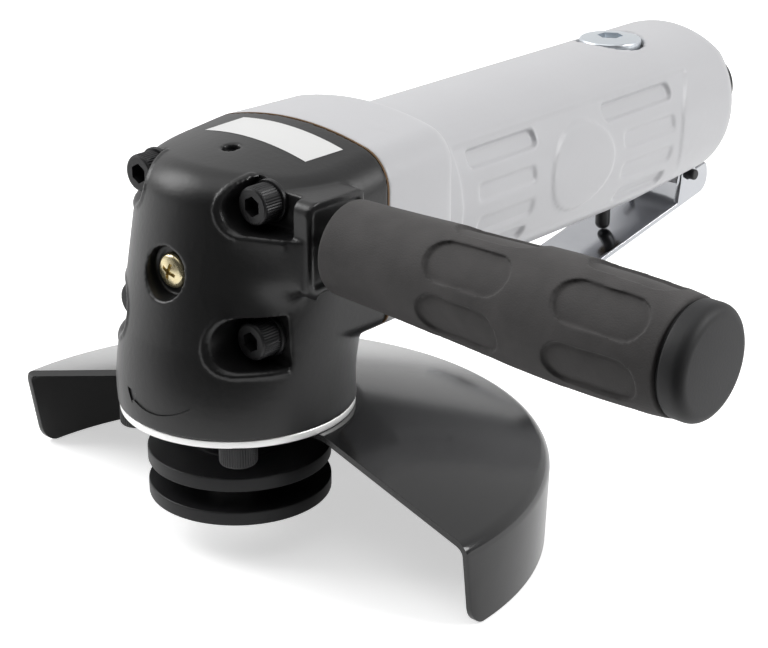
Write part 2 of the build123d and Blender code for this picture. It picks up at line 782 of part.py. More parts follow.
# Bearing retainer, its seal and its screws
with BuildPart() as bearing_retainer:
    with BuildSketch(Plane.XY.offset(retainer_z)):
        Circle(retainer_r)
        Circle(seal_outer_r, mode=Mode.SUBTRACT)
        with PolarLocations(retainer_pitch_r, 4, start_angle=45):
            Circle(screw_r + free_gap / 2, mode=Mode.SUBTRACT)
    extrude(amount=retainer_t)
bearing_retainer.part.label = "bearing_retainer"
export_step(bearing_retainer.part, "parts/bearing_retainer.step")

with BuildPart(Plane.XY.offset(retainer_z)) as spindle_seal:
    tube(seal_outer_r - seat_gap, hub_r + running_gap, retainer_t)
spindle_seal.part.label = "spindle_seal"
export_step(spindle_seal.part, "parts/spindle_seal.step")

front_retainer_screw = cap_screw(retainer_t + retainer_engagement)
rear_retainer_screw = cap_screw(retainer_t + retainer_engagement + guard_t)
retainer_leg = retainer_pitch_r * cos(radians(45))
with BuildPart() as retainer_screws:
    for screw_side in (-retainer_leg, retainer_leg):
        with Locations(Plane((screw_side, -retainer_leg, retainer_z), z_dir=(0, 0, -1))):
            add(front_retainer_screw)
        with Locations(Plane((screw_side, retainer_leg, retainer_z - guard_t), z_dir=(0, 0, -1))):
            add(rear_retainer_screw)
retainer_screws.part.label = "retainer_screws"
export_step(retainer_screws.part, "parts/retainer_screws.step")

# Wheel guard: pressed sheet, flat where it is clamped, then a cone and a skirt
cone_fall = tan(radians(guard_slope))
cone_t = guard_t / cos(radians(guard_slope))
guard_start = radians(-guard_overhang)
guard_plane = Plane(
    origin=(0, 0, 0),
    x_dir=(cos(guard_start), sin(guard_start), 0),
    z_dir=(sin(guard_start), -cos(guard_start), 0),
)
rim_z = retainer_z - (guard_r - guard_flat_r) * cone_fall
skirt_inner_r = guard_r - guard_t
with BuildPart() as wheel_guard:
    with BuildSketch(guard_plane) as guard_section:
        with BuildLine():
            Polyline(
                (guard_inner_r, retainer_z),
                (guard_flat_r, retainer_z),
                (guard_r, rim_z),
                (guard_r - guard_skirt_in, guard_floor_z),
                (skirt_inner_r - guard_skirt_in, guard_floor_z),
                (skirt_inner_r, retainer_z - cone_t - (skirt_inner_r - guard_flat_r) * cone_fall),
                (guard_flat_r - (cone_t - guard_t) / cone_fall, retainer_z - guard_t),
                (guard_inner_r, retainer_z - guard_t),
                close=True,
            )
        make_face()
        outer_corners = guard_section.vertices().filter_by(lambda v: v.X > skirt_inner_r - guard_t)
        bends = outer_corners.filter_by(lambda v: v.Y > guard_floor_z / 2)
        fillet(bends.sort_by(Axis.X)[-1], guard_bend_r)
        fillet(bends.sort_by(Axis.X)[0], guard_bend_r - guard_t)
    revolve(axis=Axis.Z, revolution_arc=180 + 2 * guard_overhang)
    tip_y = -guard_r * sin(radians(guard_overhang))
    with BuildSketch(Plane.YZ):
        with BuildLine():
            Polyline(
                (2 * tip_y, rim_z),
                (guard_r / 4, rim_z),
                (guard_r / 4, 2 * guard_floor_z),
                (2 * tip_y, 2 * guard_floor_z),
                close=True,
            )
        make_face()
        with BuildSketch(mode=Mode.PRIVATE) as kept:
            with BuildLine():
                Polyline(
                    (tip_y, rim_z),
                    (tip_y + guard_end_back, guard_floor_z),
                    (guard_r, guard_floor_z),
                    (guard_r, rim_z),
                    close=True,
                )
            make_face()
            lower_corners = kept.vertices().filter_by(lambda v: v.Y < rim_z - guard_t)
            fillet(lower_corners.sort_by(Axis.X)[0], guard_corner_r)
        add(kept.sketch, mode=Mode.SUBTRACT)
    extrude(amount=2 * guard_r, both=True, mode=Mode.SUBTRACT)
    with BuildSketch(Plane.XY.offset(retainer_z)):
        with PolarLocations(retainer_pitch_r, 2, start_angle=45, angular_range=180):
            Circle(screw_r + free_gap / 2)
    extrude(amount=-2 * guard_t, mode=Mode.SUBTRACT)
wheel_guard.part.label = "wheel_guard"
export_step(wheel_guard.part, "parts/wheel_guard.step")

# Spindle with its M14 tail, bearing journals and gear seat
spindle_end_z = nut_bottom_z - spindle_tail
spindle_top_z = upper_bearing_z + upper_w - free_gap
with BuildPart() as spindle:
    with BuildSketch(Plane.XZ):
        with BuildLine():
            Polyline(
                (0, spindle_end_z),
                (spindle_thread_r, spindle_end_z),
                (spindle_thread_r, spindle_shoulder_z),
                (lower_bore_r, spindle_shoulder_z),
                (lower_bore_r, lower_bearing_top_z),
                (gear_hub_r, lower_bearing_top_z),
                (gear_hub_r, gear_collar_z),
                (gear_seat_r, gear_collar_z),
                (gear_seat_r, gear_back_z),
                (spindle_waist_r, gear_back_z + 2 * gear_module),
                (spindle_waist_r, upper_bearing_z),
                (upper_bore_r, upper_bearing_z),
                (upper_bore_r, spindle_top_z),
                (0, spindle_top_z),
                close=True,
            )
        make_face()
    revolve(axis=Axis.Z)
    with Locations((gear_seat_r, 0, gear_collar_z + key_start)):
        Box(key_h, key_w, key_l, align=(Align.CENTER, Align.CENTER, Align.MIN), mode=Mode.SUBTRACT)
spindle.part.label = "spindle"
export_step(spindle.part, "parts/spindle.step")

with BuildPart() as spindle_key:
    with Locations((gear_seat_r, 0, gear_collar_z + key_start)):
        Box(
            key_h - 2 * seat_gap,
            key_w - 2 * seat_gap,
            key_l - 2 * seat_gap,
            align=(Align.CENTER, Align.CENTER, Align.MIN),
        )
spindle_key.part.label = "spindle_key"
export_step(spindle_key.part, "parts/spindle_key.step")

# Bevel gear on the spindle, with its cone's tip on the motor axis
gear_depth = motor_z - gear_collar_z
gear_blank = bevel_wheel(gear_teeth, pinion_teeth, gear_seat_r + seat_gap, gear_hub_r, gear_depth)
with BuildPart(Plane.XY.offset(motor_z)) as bevel_gear:
    add(gear_blank)
    with Locations((gear_seat_r, 0, gear_collar_z - motor_z)):
        Box(
            key_h + 2 * seat_gap,
            key_w + 2 * seat_gap,
            key_l + key_start + hole_spare,
            align=(Align.CENTER, Align.CENTER, Align.MIN),
            mode=Mode.SUBTRACT,
        )
bevel_gear.part.label = "bevel_gear"
export_step(bevel_gear.part, "parts/bevel_gear.step")

# Spindle bearings
with BuildPart(Plane.XY.offset(head_bottom_z)) as lower_bearing_outer:
    add(outer_race(lower_bore_r, lower_outer_r, lower_w))
lower_bearing_outer.part.label = "lower_bearing_outer"
export_step(lower_bearing_outer.part, "parts/lower_bearing_outer.step")

with BuildPart(Plane.XY.offset(head_bottom_z)) as lower_bearing_inner:
    add(inner_race(lower_bore_r, lower_outer_r, lower_w))
lower_bearing_inner.part.label = "lower_bearing_inner"
export_step(lower_bearing_inner.part, "parts/lower_bearing_inner.step")

with BuildPart(Plane.XY.offset(head_bottom_z)) as lower_bearing_balls:
    add(ball_set(lower_bore_r, lower_outer_r, lower_w, lower_balls))
lower_bearing_balls.part.label = "lower_bearing_balls"
export_step(lower_bearing_balls.part, "parts/lower_bearing_balls.step")

with BuildPart(Plane.XY.offset(upper_bearing_z)) as upper_bearing_outer:
    add(outer_race(upper_bore_r, upper_outer_r, upper_w))
upper_bearing_outer.part.label = "upper_bearing_outer"
export_step(upper_bearing_outer.part, "parts/upper_bearing_outer.step")

with BuildPart(Plane.XY.offset(upper_bearing_z)) as upper_bearing_inner:
    add(inner_race(upper_bore_r, upper_outer_r, upper_w))
upper_bearing_inner.part.label = "upper_bearing_inner"
export_step(upper_bearing_inner.part, "parts/upper_bearing_inner.step")

with BuildPart(Plane.XY.offset(upper_bearing_z)) as upper_bearing_balls:
    add(ball_set(upper_bore_r, upper_outer_r, upper_w, upper_balls))
upper_bearing_balls.part.label = "upper_bearing_balls"
export_step(upper_bearing_balls.part, "parts/upper_bearing_balls.step")

# Wheel flanges: the inner one with its hub and pilot, the outer one a nut with spanner holes
with BuildPart() as inner_flange:
    with BuildSketch(Plane.XZ):
        with BuildLine():
            Polyline(
                (spindle_thread_r + seat_gap, -pilot_h),
                (pilot_r, -pilot_h),
                (pilot_r, 0),
                (flange_r, 0),
                (flange_r, flange_t),
                (hub_r, flange_t),
                (hub_r, head_bottom_z),
                (lower_bore_r + seat_gap, head_bottom_z),
                (lower_bore_r + seat_gap, spindle_shoulder_z),
                (spindle_thread_r + seat_gap, spindle_shoulder_z),
                close=True,
            )
        make_face()
    revolve(axis=Axis.Z)
inner_flange.part.label = "inner_flange"
export_step(inner_flange.part, "parts/inner_flange.step")

with BuildPart() as flange_nut:
    with BuildSketch(Plane.XY.offset(nut_bottom_z)):
        Circle(flange_r)
        Circle(spindle_thread_r + seat_gap, mode=Mode.SUBTRACT)
    extrude(amount=flange_t)
    with BuildSketch(Plane.XY.offset(nut_bottom_z)):
        with PolarLocations(spanner_hole_pitch_r, 4):
            Circle(spanner_hole_r)
    extrude(amount=spanner_hole_depth, mode=Mode.SUBTRACT)
flange_nut.part.label = "flange_nut"
export_step(flange_nut.part, "parts/flange_nut.step")

# Fixed parts of the vane motor
with BuildPart() as front_end_plate:
    with BuildSketch(motor_plane(front_plate_y)):
        Circle(plate_r)
    extrude(amount=front_plate_rear_y - front_plate_y)
    with BuildSketch(motor_plane(front_plate_y)):
        Circle(front_outer_r)
    extrude(amount=front_bearing_y + front_w - front_plate_y, mode=Mode.SUBTRACT)
    with BuildSketch(motor_plane(front_plate_y)):
        Circle(front_bore_r + free_gap)
        with Locations((0, -dowel_drop)):
            Circle(dowel_r + seat_gap)
    extrude(amount=front_plate_rear_y - front_plate_y, mode=Mode.SUBTRACT)
front_end_plate.part.label = "front_end_plate"
export_step(front_end_plate.part, "parts/front_end_plate.step")

with BuildPart() as cylinder_liner:
    with BuildSketch(motor_plane(front_plate_rear_y)):
        Circle(plate_r)
        with Locations((0, liner_shift)):
            Circle(liner_bore_r, mode=Mode.SUBTRACT)
        with Locations((0, -dowel_drop)):
            Circle(dowel_r + seat_gap, mode=Mode.SUBTRACT)
    extrude(amount=liner_l)
    with BuildSketch(Plane.YZ):
        with Locations((front_plate_rear_y + liner_l / 2, motor_z)):
            with GridLocations(liner_l / 5, 1, 3, 1):
                Circle(air_port_r)
    extrude(amount=plate_r + overrun, mode=Mode.SUBTRACT)
cylinder_liner.part.label = "cylinder_liner"
export_step(cylinder_liner.part, "parts/cylinder_liner.step")

with BuildPart() as rear_end_plate:
    with BuildSketch(motor_plane(liner_rear_y)):
        Circle(plate_r)
    extrude(amount=rear_plate_wall + rear_w)
    with BuildSketch(motor_plane(rear_bearing_y)):
        Circle(rear_outer_r)
    extrude(amount=rear_w, mode=Mode.SUBTRACT)
    with BuildSketch(motor_plane(liner_rear_y)):
        Circle(rear_bore_r + free_gap)
        with Locations((0, -dowel_drop)):
            Circle(dowel_r + seat_gap)
        with Locations((-plate_port_x, 0)):
            Circle(plate_port_r)
    extrude(amount=rear_plate_wall + rear_w, mode=Mode.SUBTRACT)
rear_end_plate.part.label = "rear_end_plate"
export_step(rear_end_plate.part, "parts/rear_end_plate.step")

with BuildPart() as liner_dowel:
    with BuildSketch(motor_plane(front_plate_y)):
        with Locations((0, -dowel_drop)):
            Circle(dowel_r)
    extrude(amount=liner_rear_y + rear_plate_wall + rear_w - front_plate_y)
liner_dowel.part.label = "liner_dowel"
export_step(liner_dowel.part, "parts/liner_dowel.step")

# Rotor with its shafts and vane slots, the vanes and the pinion
pinion_pitch_y = gear_module * gear_teeth / 2
pinion_rear_y = front_bearing_y - pinion_gap
rotor_front_y = front_plate_rear_y + running_gap
rotor_rear_y = liner_rear_y - running_gap
nose_y = pinion_pitch_y - gear_face / 2
vane_bottom = rotor_r - vane_depth
with BuildPart() as rotor:
    for start, end, radius in (
        (nose_y, pinion_rear_y, rotor_nose_r),
        (pinion_rear_y, rotor_front_y, front_bore_r),
        (rotor_front_y, rotor_rear_y, rotor_r),
        (rotor_rear_y, rear_bearing_y + rear_w, rear_bore_r),
    ):
        with BuildSketch(motor_plane(start)):
            Circle(radius)
        extrude(amount=end - start)
    with BuildSketch(motor_plane(rotor_front_y)):
        with PolarLocations(vane_bottom, vane_count):
            Rectangle(2 * vane_depth, vane_t, align=(Align.MIN, Align.CENTER))
    extrude(amount=rotor_rear_y - rotor_front_y, mode=Mode.SUBTRACT)
rotor.part.label = "rotor"
export_step(rotor.part, "parts/rotor.step")

with BuildPart() as rotor_vanes:
    with BuildSketch(motor_plane(rotor_front_y)):
        with PolarLocations(vane_bottom + 2 * seat_gap, vane_count):
            Rectangle(
                vane_depth - 8 * seat_gap,
                vane_t - 2 * seat_gap,
                align=(Align.MIN, Align.CENTER),
            )
    extrude(amount=rotor_rear_y - rotor_front_y)
rotor_vanes.part.label = "rotor_vanes"
export_step(rotor_vanes.part, "parts/rotor_vanes.step")

pinion_plane = Plane(origin=(0, 0, motor_z), x_dir=(1, 0, 0), z_dir=(0, -1, 0))
pinion_hub_r = gear_module * pinion_teeth / 2
with BuildPart(pinion_plane) as bevel_pinion:
    add(bevel_wheel(pinion_teeth, gear_teeth, rotor_nose_r + seat_gap, pinion_hub_r, pinion_rear_y))
bevel_pinion.part.label = "bevel_pinion"
export_step(bevel_pinion.part, "parts/bevel_pinion.step")

# Rotor bearings
with BuildPart(motor_plane(front_bearing_y)) as front_bearing_outer:
    add(outer_race(front_bore_r, front_outer_r, front_w))
front_bearing_outer.part.label = "front_bearing_outer"
export_step(front_bearing_outer.part, "parts/front_bearing_outer.step")

with BuildPart(motor_plane(front_bearing_y)) as front_bearing_inner:
    add(inner_race(front_bore_r, front_outer_r, front_w))
front_bearing_inner.part.label = "front_bearing_inner"
export_step(front_bearing_inner.part, "parts/front_bearing_inner.step")

with BuildPart(motor_plane(front_bearing_y)) as front_bearing_balls:
    add(ball_set(front_bore_r, front_outer_r, front_w, front_balls))
front_bearing_balls.part.label = "front_bearing_balls"
export_step(front_bearing_balls.part, "parts/front_bearing_balls.step")

with BuildPart(motor_plane(rear_bearing_y)) as rear_bearing_outer:
    add(outer_race(rear_bore_r, rear_outer_r, rear_w))
rear_bearing_outer.part.label = "rear_bearing_outer"
export_step(rear_bearing_outer.part, "parts/rear_bearing_outer.step")

with BuildPart(motor_plane(rear_bearing_y)) as rear_bearing_inner:
    add(inner_race(rear_bore_r, rear_outer_r, rear_w))
rear_bearing_inner.part.label = "rear_bearing_inner"
export_step(rear_bearing_inner.part, "parts/rear_bearing_inner.step")

with BuildPart(motor_plane(rear_bearing_y)) as rear_bearing_balls:
    add(ball_set(rear_bore_r, rear_outer_r, rear_w, rear_balls))
rear_bearing_balls.part.label = "rear_bearing_balls"
export_step(rear_bearing_balls.part, "parts/rear_bearing_balls.step")

# Throttle valve: plug, O-ring, spring, pin with its poppet and seal, and guide bush
plug_seat_z = body_top_z - plug_head_h
with BuildPart() as plug_blank:
    with BuildSketch(Plane.XZ):
        with BuildLine():
            dome = ThreePointArc(
                (-plug_head_r, plug_head_h),
                (0, plug_head_h + plug_dome),
                (plug_head_r, plug_head_h),
            )
            Polyline(
                dome @ 1,
                (plug_head_r, 0),
                (plug_thread_r - seat_gap, 0),
                (plug_thread_r - seat_gap, -plug_thread_l),
                (0, -plug_thread_l),
                (0, plug_head_h),
                dome @ 0,
            )
        make_face()
        split(bisect_by=Plane.YZ)
    revolve(axis=Axis.Z)
    with BuildSketch(Plane.XY.offset(plug_head_h + plug_dome)):
        RegularPolygon(plug_socket / 2, 6, major_radius=False)
    extrude(amount=-plug_socket_depth, mode=Mode.SUBTRACT)

with BuildPart(Plane((0, valve_y, plug_seat_z))) as valve_plug:
    add(plug_blank.part)
valve_plug.part.label = "valve_plug"
export_step(valve_plug.part, "parts/valve_plug.step")

with BuildPart(Plane((0, valve_y, plug_seat_z - o_ring_r))) as valve_plug_o_ring:
    Torus(plug_well_r - o_ring_r - seat_gap, o_ring_r - seat_gap)
valve_plug_o_ring.part.label = "valve_plug_o_ring"
export_step(valve_plug_o_ring.part, "parts/valve_plug_o_ring.step")

poppet_z = valve_seat_z + running_gap + valve_seal_t
pin_bottom_z = (
    lever_pivot_z
    - (lever_pivot_y - valve_y) * tan(radians(lever_slope))
    - lever_drop / cos(radians(lever_slope))
    + free_gap
)
with BuildPart(Plane((0, valve_y, pin_bottom_z))) as valve_pin:
    rod(valve_pin_r, poppet_z - pin_bottom_z + valve_head_h)
    fillet(valve_pin.faces().sort_by(Axis.Z)[0].edges(), valve_pin_round)
    with BuildSketch(Plane((0, valve_y, poppet_z))):
        Circle(valve_head_r)
    extrude(amount=valve_head_h)
valve_pin.part.label = "valve_pin"
export_step(valve_pin.part, "parts/valve_pin.step")

with BuildPart(Plane((0, valve_y, valve_seat_z + running_gap))) as valve_seal:
    tube(valve_head_r, valve_pin_r + seat_gap, valve_seal_t)
valve_seal.part.label = "valve_seal"
export_step(valve_seal.part, "parts/valve_seal.step")

spring_low_z = poppet_z + valve_head_h + free_gap
spring_high_z = plug_seat_z - plug_thread_l - free_gap
spring_r = valve_head_r - spring_wire_r - free_gap
spring_pitch = (spring_high_z - spring_low_z - 2 * spring_wire_r) / spring_turns
with BuildPart() as valve_spring:
    with BuildLine(Plane((0, valve_y, spring_low_z + spring_wire_r))) as coil:
        Helix(pitch=spring_pitch, height=spring_pitch * spring_turns, radius=spring_r)
    with BuildSketch(Plane(origin=coil.line @ 0, z_dir=coil.line % 0)):
        Circle(spring_wire_r)
    sweep(path=coil.line, is_frenet=True)
valve_spring.part.label = "valve_spring"
export_step(valve_spring.part, "parts/valve_spring.step")

with BuildPart(Plane((0, valve_y, body_bottom_z + free_gap))) as valve_bush:
    tube(valve_bush_r - seat_gap, valve_pin_r + running_gap, valve_bush_l - free_gap)
valve_bush.part.label = "valve_bush"
export_step(valve_bush.part, "parts/valve_bush.step")

# Throttle lever: a bent strip with two ears on the pivot pin
slope = radians(lever_slope)
lever_plane = Plane(
    origin=(0, lever_pivot_y, lever_pivot_z),
    x_dir=(0, -cos(slope), -sin(slope)),
    z_dir=(1, 0, 0),
)
plate_start = lever_tail_r - lever_tail
with BuildPart() as throttle_lever:
    with BuildSketch(lever_plane):
        with BuildLine():
            Polyline(
                (plate_start, lever_drop),
                (lever_reach, lever_drop),
                (lever_reach, lever_drop + lever_t),
                (plate_start, lever_drop + lever_t),
                close=True,
            )
        make_face()
    extrude(amount=lever_half_w, both=True)
    front_corners = throttle_lever.edges().filter_by(Axis(lever_plane.origin, lever_plane.y_dir))
    fillet(front_corners.sort_by(Axis.Y)[:2], lever_corner_r)
    for ear_x in (lever_half_w - lever_t, -lever_half_w):
        with BuildSketch(lever_plane.offset(ear_x)) as ear:
            with BuildLine():
                Polyline(
                    (-lever_tail, lever_drop + lever_t),
                    (-lever_tail, 0),
                    (lever_ear_r, 0),
                    (lever_ear_l, lever_drop + lever_t),
                    close=True,
                )
            make_face()
            fillet(ear.vertices().group_by(Axis.X)[0].sort_by(Axis.Y)[-1], lever_tail_r)
            fillet(ear.vertices().group_by(Axis.X)[0].sort_by(Axis.Y)[0], lever_tail_top_r)
            Circle(lever_ear_r)
            Circle(lever_pin_r + running_gap, mode=Mode.SUBTRACT)
        extrude(amount=lever_t)
throttle_lever.part.label = "throttle_lever"
export_step(throttle_lever.part, "parts/throttle_lever.step")

pin_half_l = lever_half_w + lever_pin_out
pin_end = Plane((-pin_half_l, lever_pivot_y, lever_pivot_z), x_dir=(0, 1, 0), z_dir=(1, 0, 0))
with BuildPart(pin_end) as lever_pin:
    rod(lever_pin_r - seat_gap / 3, 2 * pin_half_l)
lever_pin.part.label = "lever_pin"
export_step(lever_pin.part, "parts/lever_pin.step")

# Air inlet bushing with its strainer, and the exhaust silencer and deflector round it
inlet_front_y = body_rear_y - inlet_bush_in
inlet_rear_y = body_rear_y + inlet_bush_out
with BuildPart() as inlet_bushing:
    with BuildSketch(motor_plane(inlet_front_y)):
        Circle(inlet_bush_r - seat_gap)
    extrude(amount=inlet_rear_y - inlet_front_y)
    with BuildSketch(motor_plane(inlet_rear_y)):
        Circle(inlet_collar_r)
    extrude(amount=deflector_l + seat_gap - inlet_bush_out)
    fillet(inlet_bushing.faces().sort_by(Axis.Y)[-1].edges(), inlet_collar_round)
    with BuildSketch(motor_plane(inlet_rear_y)):
        Circle(inlet_r)
    extrude(amount=-inlet_thread_l, mode=Mode.SUBTRACT)
    with BuildSketch(motor_plane(inlet_front_y)):
        Circle(inlet_bush_bore_r)
    extrude(amount=inlet_rear_y - inlet_front_y, mode=Mode.SUBTRACT)
inlet_bushing.part.label = "inlet_bushing"
export_step(inlet_bushing.part, "parts/inlet_bushing.step")

with BuildPart() as inlet_strainer:
    with BuildSketch(motor_plane(inlet_rear_y - inlet_thread_l)):
        Circle(inlet_bush_bore_r - seat_gap)
        with GridLocations(strainer_pitch, strainer_pitch, 3, 3):
            Circle(strainer_pitch / 3, mode=Mode.SUBTRACT)
    extrude(amount=-strainer_t)
inlet_strainer.part.label = "inlet_strainer"
export_step(inlet_strainer.part, "parts/inlet_strainer.step")

with BuildPart() as exhaust_silencer:
    with BuildSketch(motor_plane(body_rear_y - exhaust_well_l + hole_spare)):
        Circle(exhaust_well_r - 2 * seat_gap)
        Circle(inlet_bush_r + seat_gap, mode=Mode.SUBTRACT)
    extrude(amount=silencer_l)
exhaust_silencer.part.label = "exhaust_silencer"
export_step(exhaust_silencer.part, "parts/exhaust_silencer.step")

with BuildPart() as exhaust_deflector:
    with BuildSketch(motor_plane(body_rear_y)):
        Circle(deflector_r)
        Circle(inlet_bush_r + seat_gap, mode=Mode.SUBTRACT)
    extrude(amount=deflector_l)
    rear_rims = exhaust_deflector.faces().sort_by(Axis.Y)[-1].edges()
    fillet(rear_rims.sort_by(SortBy.RADIUS)[-1], deflector_round)
    with BuildSketch(motor_plane(body_rear_y)):
        with PolarLocations((deflector_r + inlet_bush_r) / 2, deflector_slots):
            SlotOverall(deflector_slot_l, deflector_slot_w)
    extrude(amount=deflector_l, mode=Mode.SUBTRACT)
exhaust_deflector.part.label = "exhaust_deflector"
export_step(exhaust_deflector.part, "parts/exhaust_deflector.step")

# Side handle: steel stud, moulded grip with finger recesses, end cap
with BuildPart(handle_plane.offset(-stud_in)) as handle_stud:
    rod(stud_r - seat_gap, stud_in + stud_out)
handle_stud.part.label = "handle_stud"
export_step(handle_stud.part, "parts/handle_stud.step")


def grip_section(sink):
    """Half of the grip's long section, its skin sunk by a given depth."""
    with BuildSketch() as section:
        with BuildLine():
            flank = Spline(
                (grip_root_r - sink, grip_start),
                (grip_swell_r - sink, grip_swell_at),
                (grip_end_r - sink, grip_l),
                tangents=((grip_root_flare, 1), (-grip_end_taper, 1)),
            )
            Polyline(flank @ 1, (0, grip_l), (0, grip_start), flank @ 0)
        make_face()
    return section.sketch


with BuildPart() as grip_core:
    with BuildSketch(Plane.XZ):
        add(grip_section(grip_slot_depth))
    revolve(axis=Axis.Z)

with BuildPart() as grip_slots:
    for row, row_l in ((grip_row_one, grip_row_one_l), (grip_row_two, grip_row_two_l)):
        for number in range(grip_slot_count):
            turn = radians(number * 360 / grip_slot_count + grip_slot_turn)
            facing = Vector(-cos(turn), sin(turn), 0)
            slot_foot = facing * (grip_slot_w + free_gap) + Vector(0, 0, row)
            with BuildSketch(Plane(origin=slot_foot, x_dir=(0, 0, 1), z_dir=facing)):
                SlotOverall(row_l, grip_slot_w)
            extrude(amount=grip_swell_r)
    add(grip_core.part, mode=Mode.SUBTRACT)

with BuildPart() as grip_blank:
    with BuildSketch(Plane.XZ):
        add(grip_section(0))
    revolve(axis=Axis.Z)
    fillet(grip_blank.faces().sort_by(Axis.Z)[0].edges(), grip_edge_round)
    add(grip_slots.part, mode=Mode.SUBTRACT)
    with BuildSketch(Plane.XY):
        Circle(stud_r)
    extrude(amount=grip_bore_l, mode=Mode.SUBTRACT)
    with BuildSketch(Plane.XY.offset(grip_l)):
        Circle(cap_plug_r)
    extrude(amount=-cap_plug_l - hole_spare, mode=Mode.SUBTRACT)

with BuildPart(handle_plane) as handle_grip:
    add(grip_blank.part)
handle_grip.part.label = "handle_grip"
export_step(handle_grip.part, "parts/handle_grip.step")

with BuildPart() as cap_blank:
    with BuildSketch(Plane.XY.offset(grip_l)):
        Circle(cap_r)
    extrude(amount=cap_l)
    fillet(cap_blank.faces().sort_by(Axis.Z)[-1].edges(), cap_round)
    with BuildSketch(Plane.XY.offset(grip_l)):
        Circle(cap_plug_r - seat_gap)
    extrude(amount=-cap_plug_l)

with BuildPart(handle_plane) as handle_end_cap:
    add(cap_blank.part)
handle_end_cap.part.label = "handle_end_cap"
export_step(handle_end_cap.part, "parts/handle_end_cap.step")
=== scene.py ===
import json
from math import atan2, cos, pi, radians, sin, tan

import bpy
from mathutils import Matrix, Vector

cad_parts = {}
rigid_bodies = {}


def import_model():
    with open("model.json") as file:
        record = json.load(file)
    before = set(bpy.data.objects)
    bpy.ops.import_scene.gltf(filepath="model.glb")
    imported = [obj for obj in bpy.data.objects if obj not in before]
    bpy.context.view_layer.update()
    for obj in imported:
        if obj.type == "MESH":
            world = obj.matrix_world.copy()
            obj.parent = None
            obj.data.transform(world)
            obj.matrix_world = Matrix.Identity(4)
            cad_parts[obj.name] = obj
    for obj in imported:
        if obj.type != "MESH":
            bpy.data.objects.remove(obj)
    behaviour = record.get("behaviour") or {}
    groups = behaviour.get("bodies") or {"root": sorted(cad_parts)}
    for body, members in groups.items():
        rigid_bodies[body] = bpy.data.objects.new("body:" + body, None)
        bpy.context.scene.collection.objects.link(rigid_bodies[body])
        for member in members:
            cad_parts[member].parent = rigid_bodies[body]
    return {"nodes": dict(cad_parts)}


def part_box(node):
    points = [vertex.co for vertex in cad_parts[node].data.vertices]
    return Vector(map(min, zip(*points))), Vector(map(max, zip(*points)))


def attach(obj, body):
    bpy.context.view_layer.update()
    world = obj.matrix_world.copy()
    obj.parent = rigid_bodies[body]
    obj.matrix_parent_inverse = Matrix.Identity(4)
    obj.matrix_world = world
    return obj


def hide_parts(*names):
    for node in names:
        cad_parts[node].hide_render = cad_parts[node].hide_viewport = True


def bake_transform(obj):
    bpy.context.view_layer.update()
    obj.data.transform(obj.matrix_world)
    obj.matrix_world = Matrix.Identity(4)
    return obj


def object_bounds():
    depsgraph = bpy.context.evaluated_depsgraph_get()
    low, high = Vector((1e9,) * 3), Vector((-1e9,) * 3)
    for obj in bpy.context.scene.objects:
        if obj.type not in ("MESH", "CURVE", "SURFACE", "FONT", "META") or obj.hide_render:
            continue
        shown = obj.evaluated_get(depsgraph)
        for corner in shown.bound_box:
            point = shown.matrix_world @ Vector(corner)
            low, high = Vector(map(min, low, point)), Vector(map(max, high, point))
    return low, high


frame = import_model()
cad_low, cad_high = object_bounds()

# Gear housing
# A die cast aluminium head in satin black paint, soft at every edge, with four screw pockets,
# a square boss for the side handle and a round recess for the grease screw.
mm = 0.001
merge_gap = mm / 1000
motor_axis_z = 49.5 * mm
along_motor = (pi / 2, 0, 0)
head_voxel, head_passes = 0.4 * mm, 6
housing_screw_seats = ((17.5, -6.5, 65.9), (18.6, -9.0, 36.5))
lip_r, lip_w, lip_rise = 6.3 * mm, 0.9 * mm, 0.3 * mm
lip_end_x, lip_facing, lip_passes = 26.0 * mm, -0.1, 2
web_foot_x, web_tip_x, web_tip_y = 12.0, 30.3, -8.75
web_levels = ((49.0, -18.6), (60.1, -16.35))
web_t, web_slope = 4.0, 3.0
web_blend = ((10.0, 29.2), (-20.0, -4.0), (42.5, 58.9))
web_passes = 220
rod_l, rod_inset, rod_fit = 3.0 * mm, 2.0 * mm, 0.25 * mm
bore_rod_gap = 0.5 * mm
set_rod_l = 1.0 * mm
grease_way_r = 2.25 * mm
head_shade = ((0.005, 0.005, 0.0055), (0.009, 0.0088, 0.009))


def pick(piece):
    """Makes one piece active, with nothing else selected."""
    bpy.ops.object.select_all(action="DESELECT")
    piece.select_set(True)
    bpy.context.view_layer.objects.active = piece


def blank_from(node, name):
    """A merged copy of a solid's mesh, open in edit mode, as the blank of a new piece."""
    piece = bpy.data.objects.new(name, frame["nodes"][node].data.copy())
    piece.data.name = name
    piece.data.materials.clear()
    bpy.context.scene.collection.objects.link(piece)
    pick(piece)
    bpy.ops.object.mode_set(mode="EDIT")
    bpy.ops.mesh.select_all(action="SELECT")
    bpy.ops.mesh.customdata_custom_splitnormals_clear()
    bpy.ops.mesh.remove_doubles(threshold=merge_gap)
    return piece


def stop_up(centre, hole_r, depth=rod_l, turn=(0, 0, 0)):
    """Closes a hole of the blank with a short rod, so that the skin leaves out what lies inside."""
    bpy.ops.mesh.primitive_cylinder_add(
        vertices=48, radius=hole_r + rod_fit, depth=depth, location=centre, rotation=turn
    )


def apply_last(piece):
    """Applies the modifier that was added last."""
    pick(piece)
    bpy.ops.object.modifier_apply(modifier=piece.modifiers[-1].name)


def draw_skin(piece, voxel, passes):
    """Turns a blank into one skin without a hard edge, as a casting or a moulding has."""
    bpy.ops.object.mode_set(mode="OBJECT")
    skin = piece.modifiers.new("skin", "REMESH")
    skin.mode = "VOXEL"
    skin.voxel_size = voxel
    apply_last(piece)
    flow = piece.modifiers.new("flow", "SMOOTH")
    flow.factor = 0.5
    flow.iterations = passes
    apply_last(piece)
    bpy.ops.object.shade_smooth()


